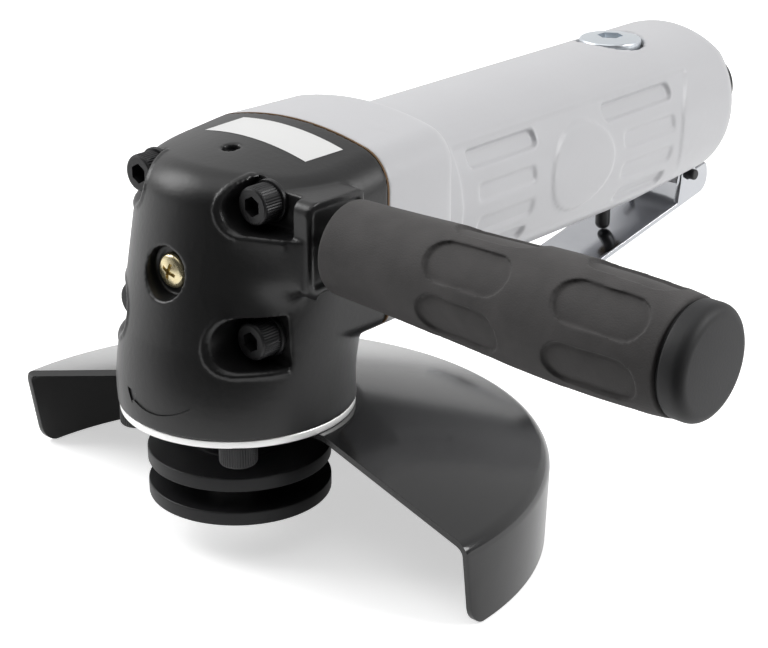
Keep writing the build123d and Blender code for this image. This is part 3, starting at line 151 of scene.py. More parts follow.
def choose(piece, wanted, kind):
    """Selects the faces or vertices of the piece in edit mode for which wanted is true."""
    bpy.ops.mesh.select_all(action="DESELECT")
    bpy.ops.mesh.select_mode(type=kind)
    bpy.ops.object.mode_set(mode="OBJECT")
    for item in piece.data.polygons if kind == "FACE" else piece.data.vertices:
        item.select = wanted(item)
    bpy.ops.object.mode_set(mode="EDIT")


def on_a_lip(vertex):
    """True on the skin just outside a screw pocket."""
    if vertex.normal.y > lip_facing or abs(vertex.co.x) > lip_end_x:
        return False
    for seat_x, seat_y, seat_z in housing_screw_seats:
        beside = min(abs(vertex.co.x) - seat_x * mm, 0)
        away = Vector((beside, vertex.co.z - seat_z * mm)).length
        if vertex.co.y < seat_y * mm and lip_r < away < lip_r + lip_w:
            return True
    return False


def beside_the_web(vertex):
    """True in the block round the web, which is given by its range along each axis."""
    return all(low < value < high for value, (low, high) in zip(vertex.co / mm, web_blend))


def new_group(name, inputs, outputs):
    """An empty shader group with named inputs and float outputs, and its end nodes."""
    group = bpy.data.node_groups.new(name, "ShaderNodeTree")
    for label, kind in inputs:
        group.interface.new_socket(label, in_out="INPUT", socket_type=kind)
    for label in outputs:
        group.interface.new_socket(label, in_out="OUTPUT", socket_type="NodeSocketFloat")
    return group, group.nodes.new("NodeGroupInput"), group.nodes.new("NodeGroupOutput")


def surface_grain_group():
    """Fine bumps and broad patches in the piece's own coordinates."""
    group, given, out = new_group(
        "surface_grain",
        (("Bumps", "NodeSocketFloat"), ("Patches", "NodeSocketFloat")),
        ("Height", "Mottle"),
    )
    where = group.nodes.new("ShaderNodeTexCoord")
    fine = group.nodes.new("ShaderNodeTexNoise")
    fine.inputs["Detail"].default_value = 2.0
    broad = group.nodes.new("ShaderNodeTexNoise")
    broad.inputs["Detail"].default_value = 4.0
    for noise, socket, result in ((fine, "Bumps", "Height"), (broad, "Patches", "Mottle")):
        group.links.new(where.outputs["Object"], noise.inputs["Vector"])
        group.links.new(given.outputs[socket], noise.inputs["Scale"])
        group.links.new(noise.outputs["Fac"], out.inputs[result])
    return group


surface_grain = surface_grain_group()


def finish_from(name, group, settings, tones, rough, depth, metal, specular):
    """A material whose tone, roughness and relief follow a shader group."""
    material = bpy.data.materials.new(name)
    material.use_nodes = True
    nodes, links = material.node_tree.nodes, material.node_tree.links
    shader = nodes["Principled BSDF"]
    shader.inputs["Metallic"].default_value = metal
    shader.inputs["Specular IOR Level"].default_value = specular
    marks = nodes.new("ShaderNodeGroup")
    marks.node_tree = group
    for socket, value in settings.items():
        marks.inputs[socket].default_value = value
    tone = nodes.new("ShaderNodeMix")
    tone.data_type = "RGBA"
    tone.inputs["A"].default_value = (*tones[0], 1)
    tone.inputs["B"].default_value = (*tones[1], 1)
    links.new(marks.outputs["Mottle"], tone.inputs["Factor"])
    links.new(tone.outputs["Result"], shader.inputs["Base Color"])
    gloss = nodes.new("ShaderNodeMapRange")
    gloss.inputs["To Min"].default_value = rough[0]
    gloss.inputs["To Max"].default_value = rough[1]
    links.new(marks.outputs["Mottle"], gloss.inputs["Value"])
    links.new(gloss.outputs["Result"], shader.inputs["Roughness"])
    relief = nodes.new("ShaderNodeBump")
    relief.inputs["Distance"].default_value = depth
    links.new(marks.outputs["Height"], relief.inputs["Height"])
    links.new(relief.outputs["Normal"], shader.inputs["Normal"])
    return material


def grained(name, tones, rough, bumps, depth, patches=45, metal=0.0, specular=0.5):
    """Paint, plastic or casting: bumps and patches are counted over a metre."""
    settings = {"Bumps": bumps, "Patches": patches}
    return finish_from(name, surface_grain, settings, tones, rough, depth, metal, specular)


def hand_over(piece, body, slot, material, *nodes):
    """Gives a finished piece its material, its body and the solids that it stands for."""
    piece.data.materials.clear()
    piece.data.materials.append(material)
    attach(piece, body)
    if nodes:
        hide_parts(*nodes)


head = blank_from("gear_housing", "head_casting")
bore_low, bore_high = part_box("lower_bearing_outer")
plate_low, plate_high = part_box("front_end_plate")
set_low, set_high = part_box("top_set_screw")
grease_low, grease_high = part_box("grease_plug")
bore_rod_l = bore_high.z - bore_low.z - 2 * bore_rod_gap
stop_up((0, 0, (bore_low.z + bore_high.z) / 2), bore_high.x, bore_rod_l)
stop_up((0, plate_low.y + rod_inset, motor_axis_z), plate_high.x, turn=along_motor)
stop_up((0, 0, set_low.z - set_rod_l), set_high.x, set_rod_l)
stop_up((0, grease_high.y - rod_inset, motor_axis_z), grease_way_r, turn=along_motor)
bpy.ops.object.mode_set(mode="OBJECT")

# A flared web runs from the front of the head out to the handle boss.
bpy.ops.object.select_all(action="DESELECT")
bpy.ops.mesh.primitive_cube_add(size=2)
web = bpy.context.object
for corner in web.data.vertices:
    at_foot, at_rear, at_top = corner.co.x < 0, corner.co.y > 0, corner.co.z > 0
    level, foot_y = web_levels[at_top]
    spot = Vector((web_foot_x, foot_y, level) if at_foot else (web_tip_x, web_tip_y, level))
    if at_rear:
        spot.y += web_t
    if at_rear and not at_top:
        spot.z -= web_slope
    corner.co = spot * mm
pick(head)
web.select_set(True)
bpy.ops.object.join()

draw_skin(head, head_voxel, head_passes)
bpy.ops.object.mode_set(mode="EDIT")
choose(head, on_a_lip, "VERT")
bpy.ops.transform.shrink_fatten(value=lip_rise)
bpy.ops.mesh.select_more()
bpy.ops.mesh.vertices_smooth(factor=0.5, repeat=lip_passes)
choose(head, beside_the_web, "VERT")
bpy.ops.mesh.vertices_smooth(factor=0.5, repeat=web_passes)
bpy.ops.object.mode_set(mode="OBJECT")
head_black = grained("head_black", head_shade, rough=(0.33, 0.43), bumps=900, depth=0.03 * mm)
hand_over(head, "housing", "head_black", head_black, "gear_housing")

# Rating label
# A plain white paper label, stuck on the sloping top of the head behind the set screw. It
# follows the curve of the casting.
label_corners = ((-15.5, 7.0), (17.0, 5.4), (18.6, 15.6), (-12.6, 16.4))
label_lift = 0.06 * mm
label_shade = ((0.66, 0.66, 0.66), (0.71, 0.71, 0.70))

bpy.ops.object.select_all(action="DESELECT")
bpy.ops.mesh.primitive_grid_add(x_subdivisions=32, y_subdivisions=12, size=2)
label = bpy.context.object
label.name = label.data.name = "rating_label"
front_left, front_right, rear_right, rear_left = (Vector(c) * mm for c in label_corners)
for vertex in label.data.vertices:
    along, back = (vertex.co.x + 1) / 2, (vertex.co.y + 1) / 2
    spot = front_left.lerp(front_right, along).lerp(rear_left.lerp(rear_right, along), back)
    vertex.co = (spot.x, spot.y, cad_high.z)
lay = label.modifiers.new("lay", "SHRINKWRAP")
lay.target = head
lay.wrap_method = "PROJECT"
lay.use_project_z = True
lay.use_negative_direction = True
lay.offset = label_lift
apply_last(label)
bpy.ops.object.shade_smooth()
label_white = grained("label_white", label_shade, rough=(0.45, 0.55), bumps=1500, depth=0.004 * mm)
hand_over(label, "housing", "head_black", label_white)

# Direction arrow
# A shallow arrow cast into the front of the head, with the head's paint over it. It shows which
# way the wheel turns.
arrow_tip_x, arrow_neck_x, arrow_tail_x = -7.9, -5.0, 10.4
arrow_shaft_w, arrow_head_w = 1.5 * mm, 3.8 * mm
arrow_low_x, arrow_low_z, arrow_curl = 1.2, 19.8, 0.035
arrow_columns, arrow_head_columns = 30, 6
arrow_depth = 0.35 * mm
arrow_start_y = cad_low.y - mm
head_share = 0.74


def shade(piece, angle=35):
    """Shades a piece smooth, apart from edges sharper than the angle in degrees."""
    pick(piece)
    bpy.ops.object.shade_smooth_by_angle(angle=radians(angle))


def close_up(piece, angle=35):
    """Merges doubles, turns the faces outwards and leaves edit mode with smooth shading."""
    bpy.ops.mesh.select_all(action="SELECT")
    bpy.ops.mesh.remove_doubles(threshold=merge_gap)
    bpy.ops.mesh.normals_make_consistent(inside=False)
    bpy.ops.object.mode_set(mode="OBJECT")
    shade(piece, angle)


def cut_out(piece, cutter):
    """Cuts one shape out of another and throws the cutter away."""
    step = piece.modifiers.new("cut", "BOOLEAN")
    step.operation = "DIFFERENCE"
    step.solver = "EXACT"
    step.object = cutter
    apply_last(piece)
    bpy.data.objects.remove(cutter)


def thin_out(piece, share):
    """Keeps a share of a skin's triangles and drops those that its shape needs least."""
    fewer = piece.modifiers.new("fewer", "DECIMATE")
    fewer.ratio = share
    apply_last(piece)


bpy.ops.object.select_all(action="DESELECT")
bpy.ops.mesh.primitive_grid_add(x_subdivisions=arrow_columns, y_subdivisions=2, size=2)
arrow = bpy.context.object
for vertex in arrow.data.vertices:
    column = round((vertex.co.x + 1) / 2 * arrow_columns)
    if column < arrow_head_columns:
        share = column / (arrow_head_columns - 1)
        along = arrow_tip_x + share * (arrow_neck_x - arrow_tip_x)
        width = share * arrow_head_w
    else:
        share = (column - arrow_head_columns) / (arrow_columns - arrow_head_columns)
        along = arrow_neck_x + share * (arrow_tail_x - arrow_neck_x)
        width = arrow_shaft_w
    lean = 2 * arrow_curl * (along - arrow_low_x)
    centre = Vector((along, arrow_low_z + arrow_curl * (along - arrow_low_x) ** 2)) * mm
    spot = centre + Vector((-lean, 1)).normalized() * vertex.co.y * width / 2
    vertex.co = (spot.x, arrow_start_y, spot.y)
lay = arrow.modifiers.new("lay", "SHRINKWRAP")
lay.target = head
lay.wrap_method = "PROJECT"
lay.use_project_y = True
apply_last(arrow)
bpy.ops.object.mode_set(mode="EDIT")
close_up(arrow)
sink = arrow.modifiers.new("sink", "SOLIDIFY")
sink.thickness = 2 * arrow_depth
sink.offset = 0
apply_last(arrow)
cut_out(head, arrow)
thin_out(head, head_share)
shade(head, angle=40)

# Housing gasket
# A thin brown fibre sheet between the head and the motor housing, cut to the outline of the
# joint and clamped by the four housing screws.
gasket_shade = ((0.10, 0.055, 0.025), (0.19, 0.11, 0.05))


def dress(material, *nodes):
    """Gives a material to solids that are shown as they are."""
    for node in nodes:
        frame["nodes"][node].data.materials.clear()
        frame["nodes"][node].data.materials.append(material)


gasket_brown = grained(
    "gasket_brown", gasket_shade, rough=(0.75, 0.9), bumps=2500, depth=0.05 * mm, patches=300
)
dress(gasket_brown, "housing_gasket")

# Motor housing
# A cast aluminium body in pale grey paint: a square collar at the joint, then a grip with
# recessed sides, soft finger grooves and a raised round badge on each side.
shell_voxel, shell_passes, shell_share = 0.52 * mm, 3, 0.72
valve_way_r = 6.95 * mm
well_rod_l = 2.0 * mm
shell_shade = ((0.50, 0.50, 0.515), (0.54, 0.54, 0.555))

shell = blank_from("motor_housing", "motor_shell")
shell_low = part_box("motor_housing")[0]
plug_low, plug_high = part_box("valve_plug")
bush_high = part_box("valve_bush")[1]
well_low, well_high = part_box("exhaust_silencer")
valve_y = (plug_low.y + plug_high.y) / 2
stop_up((0, shell_low.y + rod_inset, motor_axis_z), plate_high.x, turn=along_motor)
stop_up((0, valve_y, plug_low.z + rod_inset), valve_way_r)
stop_up((0, valve_y, bush_high.z - rod_inset), bush_high.x)
stop_up((0, well_low.y + well_rod_l / 2, motor_axis_z), well_high.x, well_rod_l, along_motor)
draw_skin(shell, shell_voxel, shell_passes)
thin_out(shell, shell_share)
body_grey = grained(
    "body_grey", shell_shade, rough=(0.34, 0.42), bumps=700, depth=0.012 * mm, patches=30
)
hand_over(shell, "housing", "body_grey", body_grey, "motor_housing")

# Housing screws and washers
# Four black oxide socket cap screws, knurled round the head, that hold the head to the motor
# housing. Each seats on a plain turned washer at the bottom of its pocket.
screw_head_r, screw_head_h = 4.25 * mm, 5.0 * mm
screw_crown = ((0.25 * mm, 0.985), (0.25 * mm, 0.955), (0.2 * mm, 0.90))
screw_shank_r, screw_shank_l = 2.5 * mm, 8.0 * mm
screw_socket_w, screw_socket_depth = 4.0 * mm, 2.6 * mm
knurl_teeth, knurl_depth, knurl_inner_share = 44, 0.14 * mm, 0.97
washer_r, washer_bore_r, washer_t = 4.8, 2.7, 1.0
washer_edge, washer_brim = 0.15, 0.25
facing_front = (pi / 2, 0, 0)
level_face = 0.9
arc_steps = 6
oxide_shade = ((0.010, 0.010, 0.011), (0.02, 0.02, 0.021))


def set_down(piece, spot, turn=(0, 0, 0)):
    """Moves and turns a piece that was made at the origin, and leaves its place in its mesh."""
    pick(piece)
    piece.location = spot
    piece.rotation_euler = turn
    bpy.ops.object.transform_apply(location=True, rotation=True, scale=True)


def copy_of(piece, name):
    """A copy with its own mesh."""
    copy = bpy.data.objects.new(name, piece.data.copy())
    copy.data.name = name
    bpy.context.scene.collection.objects.link(copy)
    return copy


def looks_up(face):
    """True for a level face that looks up."""
    return face.normal.z > level_face


def looks_down(face):
    """True for a level face that looks down."""
    return face.normal.z < -level_face


def in_a_groove(vertex):
    """True for every second vertex round the side of a cap screw's head."""
    tooth = round(atan2(vertex.co.y, vertex.co.x) / pi * knurl_teeth)
    return vertex.co.xy.length > knurl_inner_share * screw_head_r and tooth % 2 == 1


def hex_socket(piece, across, depth, top):
    """Sinks a hexagon socket into the top of an upright piece."""
    bpy.ops.object.select_all(action="DESELECT")
    bpy.ops.mesh.primitive_cylinder_add(
        vertices=6, radius=across / 2 / cos(pi / 6), depth=2 * depth, location=(0, 0, top)
    )
    cut_out(piece, bpy.context.object)


def cap_screw():
    """A socket cap screw, head up, with the underside of its head at the origin."""
    side_h = screw_head_h - sum(rise for rise, share in screw_crown)
    bpy.ops.object.select_all(action="DESELECT")
    bpy.ops.mesh.primitive_cylinder_add(
        vertices=2 * knurl_teeth, radius=screw_head_r, depth=side_h, location=(0, 0, side_h / 2)
    )
    screw = bpy.context.object
    screw.name = screw.data.name = "cap_screw"
    bpy.ops.object.transform_apply(location=True)
    bpy.ops.object.mode_set(mode="EDIT")
    choose(screw, looks_up, "FACE")
    for rise, share in screw_crown:
        bpy.ops.mesh.extrude_region_move(TRANSFORM_OT_translate={"value": (0, 0, rise)})
        bpy.ops.transform.resize(value=(share, share, 1), center_override=(0, 0, 0))
    choose(screw, looks_down, "FACE")
    bpy.ops.mesh.inset(thickness=screw_head_r - screw_shank_r)
    bpy.ops.mesh.extrude_region_move(TRANSFORM_OT_translate={"value": (0, 0, -screw_shank_l)})
    choose(screw, in_a_groove, "VERT")
    inward = 1 - knurl_depth / screw_head_r
    bpy.ops.transform.resize(value=(inward, inward, 1), center_override=(0, 0, 0))
    close_up(screw, angle=25)
    hex_socket(screw, screw_socket_w, screw_socket_depth, screw_head_h)
    return screw


def rounded(corners):
    """A path through corners of distance, height and rounding, with an arc at each rounded one."""
    path = []
    for number, (out, up, size) in enumerate(corners):
        here = Vector((out, up))
        if not size:
            path.append(here)
            continue
        back = (Vector(corners[number - 1][:2]) - here).normalized()
        ahead = (Vector(corners[(number + 1) % len(corners)][:2]) - here).normalized()
        half = back.angle(ahead) / 2
        middle = here + (back + ahead).normalized() * size / sin(half)
        first = here + back * size / tan(half) - middle
        last = here + ahead * size / tan(half) - middle
        start = atan2(first.y, first.x)
        sweep = (atan2(last.y, last.x) - start + pi) % (2 * pi) - pi
        for step in range(arc_steps + 1):
            turn = start + sweep * step / arc_steps
            path.append(middle + size * Vector((cos(turn), sin(turn))))
    return path


def trace(name, path):
    """Draws a path in the XZ plane, in millimetres, by pulling one vertex from point to point."""
    bpy.ops.object.select_all(action="DESELECT")
    bpy.ops.mesh.primitive_plane_add(size=mm)
    piece = bpy.context.object
    piece.name = piece.data.name = name
    bpy.ops.object.mode_set(mode="EDIT")
    bpy.ops.mesh.select_mode(type="VERT")
    bpy.ops.mesh.merge(type="CENTER")
    bpy.ops.transform.translate(value=(path[0][0] * mm, 0, path[0][1] * mm))
    for here, there in zip(path, path[1:]):
        pull = ((there[0] - here[0]) * mm, 0, (there[1] - here[1]) * mm)
        bpy.ops.mesh.extrude_vertices_move(TRANSFORM_OT_translate={"value": pull})
    return piece


def turned(name, corners, steps=96, ring=True):
    """A lathe piece about the Z axis, from a closed section or from one that ends on the axis."""
    path = rounded(corners)
    if ring:
        path.append(path[0])
    piece = trace(name, path)
    bpy.ops.mesh.select_all(action="SELECT")
    bpy.ops.mesh.spin(steps=steps, angle=2 * pi, center=(0, 0, 0), axis=(0, 0, 1))
    close_up(piece)
    return piece


black_oxide = grained(
    "black_oxide", oxide_shade, rough=(0.34, 0.48), bumps=1800, depth=0.01 * mm, patches=200, metal=0.3
)
master_screw = cap_screw()
washer = turned(
    "screw_washer",
    (
        (washer_bore_r, 0, 0),
        (washer_r, 0, washer_edge),
        (washer_r, washer_t, washer_brim),
        (washer_bore_r, washer_t, washer_edge),
    ),
    steps=48,
)
for place, (seat_x, seat_y, seat_z) in zip(("upper", "lower"), housing_screw_seats):
    for side, sign in (("left", -1), ("right", 1)):
        seat = Vector((sign * seat_x, seat_y, seat_z)) * mm
        screw = copy_of(master_screw, f"housing_screw_{place}_{side}")
        set_down(screw, seat, facing_front)
        hand_over(screw, "housing", "black_oxide", black_oxide, "housing_screws")
        ring = copy_of(washer, f"screw_washer_{place}_{side}")
        set_down(ring, seat + Vector((0, washer_t * mm, 0)), facing_front)
        hand_over(ring, "housing", "black_oxide", black_oxide, "screw_washers")
bpy.data.objects.remove(washer)

# Grease screw
# A pan head screw with a cross recess, in yellow zinc plated steel, that closes the grease hole
# in the front of the head.
grease_head_r, grease_head_h = 4.0, 2.4
grease_side_h, grease_round, grease_edge = 1.6, 1.3, 0.1
cross_l, cross_w, cross_depth = 5.4 * mm, 1.2 * mm, 1.5 * mm
cross_taper = 0.55
cross_turn = radians(20)
yellow_shade = ((0.62, 0.52, 0.30), (0.78, 0.70, 0.47))

grease_screw = turned(
    "grease_screw",
    (
        (0, 0, 0),
        (grease_head_r, 0, grease_edge),
        (grease_head_r, grease_side_h, grease_round),
        (0, grease_head_h, 0),
    ),
    steps=64,
    ring=False,
)
for turn in (0, pi / 2):
    bpy.ops.object.select_all(action="DESELECT")
    bpy.ops.mesh.primitive_cube_add(size=1, location=(0, 0, grease_head_h * mm))
    slot_cutter = bpy.context.object
    slot_cutter.scale = (cross_l, cross_w, 2 * cross_depth)
    slot_cutter.rotation_euler.z = turn
    bpy.ops.object.transform_apply(location=True, rotation=True, scale=True)
    bpy.ops.object.mode_set(mode="EDIT")
    choose(slot_cutter, looks_down, "FACE")
    bpy.ops.transform.resize(value=(cross_taper, cross_taper, 1), center_override=(0, 0, 0))
    bpy.ops.object.mode_set(mode="OBJECT")
    cut_out(grease_screw, slot_cutter)
shade(grease_screw)
grease_seat = (0, grease_low.y + grease_head_h * mm, motor_axis_z)
set_down(grease_screw, grease_seat, (pi / 2, cross_turn, 0))
yellow_zinc = grained(
    "yellow_zinc", yellow_shade, rough=(0.18, 0.3), bumps=900, depth=0.01 * mm, patches=250, metal=1.0
)
hand_over(grease_screw, "housing", "yellow_zinc", yellow_zinc, "grease_plug")

# Set screw on top
# A small socket set screw of black oxide steel, screwed deep into the threaded hole on top of
# the head.
dress(black_oxide, "top_set_screw")

# Bearing retainer
# A ring plate of bright turned steel under the head. It holds the lower bearing and is clamped
# by its four screws.
retainer_low, retainer_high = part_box("bearing_retainer")
retainer_r = retainer_high.x / mm
retainer_bottom, retainer_top = retainer_low.z / mm, retainer_high.z / mm
retainer_bore_r = 13.0
retainer_edge, retainer_bore_edge = 0.3, 0.2
bright_shade = ((0.88, 0.88, 0.87), (0.98, 0.98, 0.97))


def lathe_marks_group():
    """Fine turned rings about an upright axis, with broad patches."""
    group, given, out = new_group(
        "lathe_marks",
        (("Axis", "NodeSocketVector"), ("Rings", "NodeSocketFloat")),
        ("Height", "Mottle"),
    )
    where = group.nodes.new("ShaderNodeTexCoord")
    from_axis = group.nodes.new("ShaderNodeVectorMath")
    from_axis.operation = "SUBTRACT"
    parts = group.nodes.new("ShaderNodeSeparateXYZ")
    level = group.nodes.new("ShaderNodeCombineXYZ")
    reach = group.nodes.new("ShaderNodeVectorMath")
    reach.operation = "LENGTH"
    ring = group.nodes.new("ShaderNodeCombineXYZ")
    lines = group.nodes.new("ShaderNodeTexNoise")
    lines.inputs["Detail"].default_value = 3.0
    patches = group.nodes.new("ShaderNodeTexNoise")
    patches.inputs["Scale"].default_value = 90.0
    blend = group.nodes.new("ShaderNodeMix")
    blend.inputs["Factor"].default_value = 0.5
    links = group.links
    links.new(where.outputs["Object"], from_axis.inputs[0])
    links.new(given.outputs["Axis"], from_axis.inputs[1])
    links.new(from_axis.outputs["Vector"], parts.inputs["Vector"])
    links.new(parts.outputs["X"], level.inputs["X"])
    links.new(parts.outputs["Y"], level.inputs["Y"])
    links.new(level.outputs["Vector"], reach.inputs[0])
    links.new(reach.outputs["Value"], ring.inputs["X"])
    links.new(parts.outputs["Z"], ring.inputs["Y"])
    links.new(ring.outputs["Vector"], lines.inputs["Vector"])
    links.new(given.outputs["Rings"], lines.inputs["Scale"])
    links.new(where.outputs["Object"], patches.inputs["Vector"])
    links.new(lines.outputs["Fac"], blend.inputs["A"])
    links.new(patches.outputs["Fac"], blend.inputs["B"])
    links.new(lines.outputs["Fac"], out.inputs["Height"])
    links.new(blend.outputs["Result"], out.inputs["Mottle"])
    return group


lathe_marks = lathe_marks_group()


def machined(name, tones, rough, rings, depth, axis=(0, 0, 0), metal=1.0, specular=0.5):
    """A turned metal surface: rings are counted over a metre from the axis."""
    settings = {"Axis": axis, "Rings": rings}
    return finish_from(name, lathe_marks, settings, tones, rough, depth, metal, specular)


retainer = turned(
    "retainer_ring",
    (
        (retainer_bore_r, retainer_bottom, retainer_bore_edge),
        (retainer_r, retainer_bottom, retainer_edge),
        (retainer_r, retainer_top, retainer_edge),
        (retainer_bore_r, retainer_top, retainer_bore_edge),
    ),
    steps=160,
)
bright_steel = machined("bright_steel", bright_shade, rough=(0.42, 0.55), rings=4000, depth=0.01 * mm)
hand_over(retainer, "housing", "steel", bright_steel, "bearing_retainer")

# Wheel guard
# A half round guard pressed from sheet steel in gloss black paint: flat under the retainer,
# then a shallow cone and a skirt with slanted, rounded ends.
guard_t = 1.5
guard_r, guard_inner_r, guard_flat_r = 71.18, 16.0, 28.3
guard_cone = radians(14.9)
guard_flat_bend, guard_flat_inset, guard_rim_bend = 4.0, 0.2, 3.5
guard_floor, guard_lean, guard_foot_edge = -18.69, 0.8, 0.4
guard_overhang = radians(3.7)
guard_end_back, guard_corner_r = 3.2, 5.5
guard_edge = 0.35 * mm
end_cutter_w = 20.0
guard_shade = ((0.010, 0.010, 0.0105), (0.015, 0.015, 0.0155))


def outline(name, corners):
    """Draws a closed outline with rounded corners, and leaves all of it selected."""
    path = rounded(corners)
    path.append(path[0])
    piece = trace(name, path)
    bpy.ops.mesh.select_all(action="SELECT")
    bpy.ops.mesh.remove_doubles(threshold=merge_gap)
    bpy.ops.mesh.select_all(action="SELECT")
    return piece


def round_edges(piece, width, sharper_than):
    """Rounds the edges that are sharper than an angle in degrees, and shades the piece."""
    edge = piece.modifiers.new("edge", "BEVEL")
    edge.width = width
    edge.segments = 3
    edge.limit_method = "ANGLE"
    edge.angle_limit = radians(sharper_than)
    apply_last(piece)
    shade(piece, angle=40)


guard_slope = tan(guard_cone)
rim_z = retainer_bottom - (guard_r - guard_flat_r) * guard_slope
inner_rim_z = rim_z - guard_t / cos(guard_cone) + guard_t * guard_slope
guard = outline(
    "guard_sheet",
    (
        (guard_inner_r, retainer_bottom, 0),
        (guard_flat_r, retainer_bottom, guard_flat_bend),
        (guard_r, rim_z, guard_rim_bend),
        (guard_r - guard_lean, guard_floor, guard_foot_edge),
        (guard_r - guard_lean - guard_t, guard_floor, guard_foot_edge),
        (guard_r - guard_t, inner_rim_z, guard_rim_bend - guard_t),
        (guard_flat_r - guard_flat_inset, retainer_bottom - guard_t, guard_flat_bend),
        (guard_inner_r, retainer_bottom - guard_t, 0),
    ),
)
bpy.ops.mesh.spin(steps=150, angle=pi + 2 * guard_overhang, center=(0, 0, 0), axis=(0, 0, -1))
bpy.ops.mesh.select_all(action="DESELECT")
bpy.ops.mesh.select_mode(type="EDGE")
bpy.ops.mesh.select_non_manifold()
bpy.ops.mesh.edge_face_add()
bpy.ops.mesh.select_all(action="DESELECT")
bpy.ops.mesh.select_non_manifold()
bpy.ops.mesh.fill_holes(sides=0)
close_up(guard)
set_down(guard, (0, 0, 0), (0, 0, -guard_overhang))

# Both ends of the skirt are cut to one slanted outline, seen from the side.
tip_y = -guard_r * sin(guard_overhang)
end_cutter = outline(
    "guard_end_cutter",
    (
        (tip_y - end_cutter_w, rim_z, 0),
        (tip_y, rim_z, 0),
        (tip_y + guard_end_back, guard_floor, guard_corner_r),
        (tip_y + end_cutter_w, guard_floor, 0),
        (tip_y + end_cutter_w, guard_floor - end_cutter_w, 0),
        (tip_y - end_cutter_w, guard_floor - end_cutter_w, 0),
    ),
)
bpy.ops.mesh.edge_face_add()
bpy.ops.transform.translate(value=(0, -2 * guard_r * mm, 0))
bpy.ops.mesh.extrude_region_move(TRANSFORM_OT_translate={"value": (0, 4 * guard_r * mm, 0)})
close_up(end_cutter)
set_down(end_cutter, (0, 0, 0), (0, 0, pi / 2))
cut_out(guard, end_cutter)
round_edges(guard, guard_edge, sharper_than=50)
guard_black = grained(
    "guard_black", guard_shade, rough=(0.13, 0.19), bumps=400, depth=0.006 * mm, patches=40
)
hand_over(guard, "housing", "guard_black", guard_black, "wheel_guard")

# Retainer screws
# Four socket cap screws from below: the front pair holds the retainer, the rear pair also
# clamps the guard. They are copies of the housing screws.
retainer_screw_r = 22.7
facing_down = (pi, 0, 0)

diagonal = retainer_screw_r * sin(pi / 4)
for row, sign_y, under in (("front", -1, retainer_bottom), ("rear", 1, retainer_bottom - guard_t)):
    for side, sign_x in (("left", -1), ("right", 1)):
        screw = copy_of(master_screw, f"retainer_screw_{row}_{side}")
        set_down(screw, Vector((sign_x * diagonal, sign_y * diagonal, under)) * mm, facing_down)
        hand_over(screw, "housing", "black_oxide", black_oxide, "retainer_screws")
bpy.data.objects.remove(master_screw)

# Wheel flanges
# Two turned steel discs in black oxide. The inner one carries the wheel on its pilot, and the
# outer one is a nut with four spanner holes that screws on the spindle.
flange_r, flange_t, flange_edge = 21.0, 3.3, 0.35
pilot_r, pilot_h, pilot_edge = 11.1, 1.5, 0.4
hub_r, hub_foot, hub_edge = 10.0, 0.5, 0.3
thread_r = 7.03
nut_top = -5.0
nut_bottom = nut_top - flange_t
nut_mouth, nut_brim, nut_back_edge = 0.5, 0.4, 0.3
spanner_holes = 4
spanner_pitch_r, spanner_r, spanner_depth = 15.0 * mm, 2.5 * mm, 2.3 * mm
flange_shade = ((0.008, 0.008, 0.009), (0.014, 0.014, 0.015))

inner_flange = turned(
    "inner_flange_disc",
    (
        (thread_r, -pilot_h, 0),
        (pilot_r, -pilot_h, pilot_edge),
        (pilot_r, 0, 0),
        (flange_r, 0, flange_edge),
        (flange_r, flange_t, flange_edge),
        (hub_r, flange_t, hub_foot),
        (hub_r, retainer_top, hub_edge),
        (thread_r, retainer_top, 0),
    ),
    steps=160,
)
flange_nut = turned(
    "flange_nut_disc",
    (
        (thread_r, nut_bottom, nut_mouth),
        (flange_r, nut_bottom, nut_brim),
        (flange_r, nut_top, flange_edge),
        (thread_r, nut_top, nut_back_edge),
    ),
    steps=160,
)
for number in range(spanner_holes):
    turn = number * 2 * pi / spanner_holes
    bpy.ops.object.select_all(action="DESELECT")
    bpy.ops.mesh.primitive_cylinder_add(
        vertices=40,
        radius=spanner_r,
        depth=2 * spanner_depth,
        location=(spanner_pitch_r * cos(turn), spanner_pitch_r * sin(turn), nut_bottom * mm),
    )
    cut_out(flange_nut, bpy.context.object)
shade(flange_nut)
flange_black = machined(
    "flange_black",
    flange_shade,
    rough=(0.36, 0.5),
    rings=3500,
    depth=0.012 * mm,
    metal=0.0,
    specular=0.3,
)
hand_over(inner_flange, "spindle", "black_oxide", flange_black, "inner_flange")
hand_over(flange_nut, "spindle", "black_oxide", flange_black, "flange_nut")

# Valve plug
# A domed zinc plated plug with a hexagon socket, screwed into the top of the body over the
# throttle valve, on a rubber ring.
plug_r, plug_top, plug_seat = plug_high.x / mm, plug_high.z / mm, 68.9
plug_side_h, plug_dome_drop = 2.6, 0.2
plug_brim, plug_shoulder, plug_dome_bend = 0.2, 0.7, 2.0
plug_shank_r, plug_shank_l, plug_shank_edge = 6.8, 6.0, 0.4
plug_socket_w, plug_socket_depth = 6.0 * mm, 2.2 * mm
zinc_shade = ((0.62, 0.66, 0.70), (0.74, 0.78, 0.81))
rubber_shade = ((0.012, 0.012, 0.012), (0.02, 0.02, 0.02))

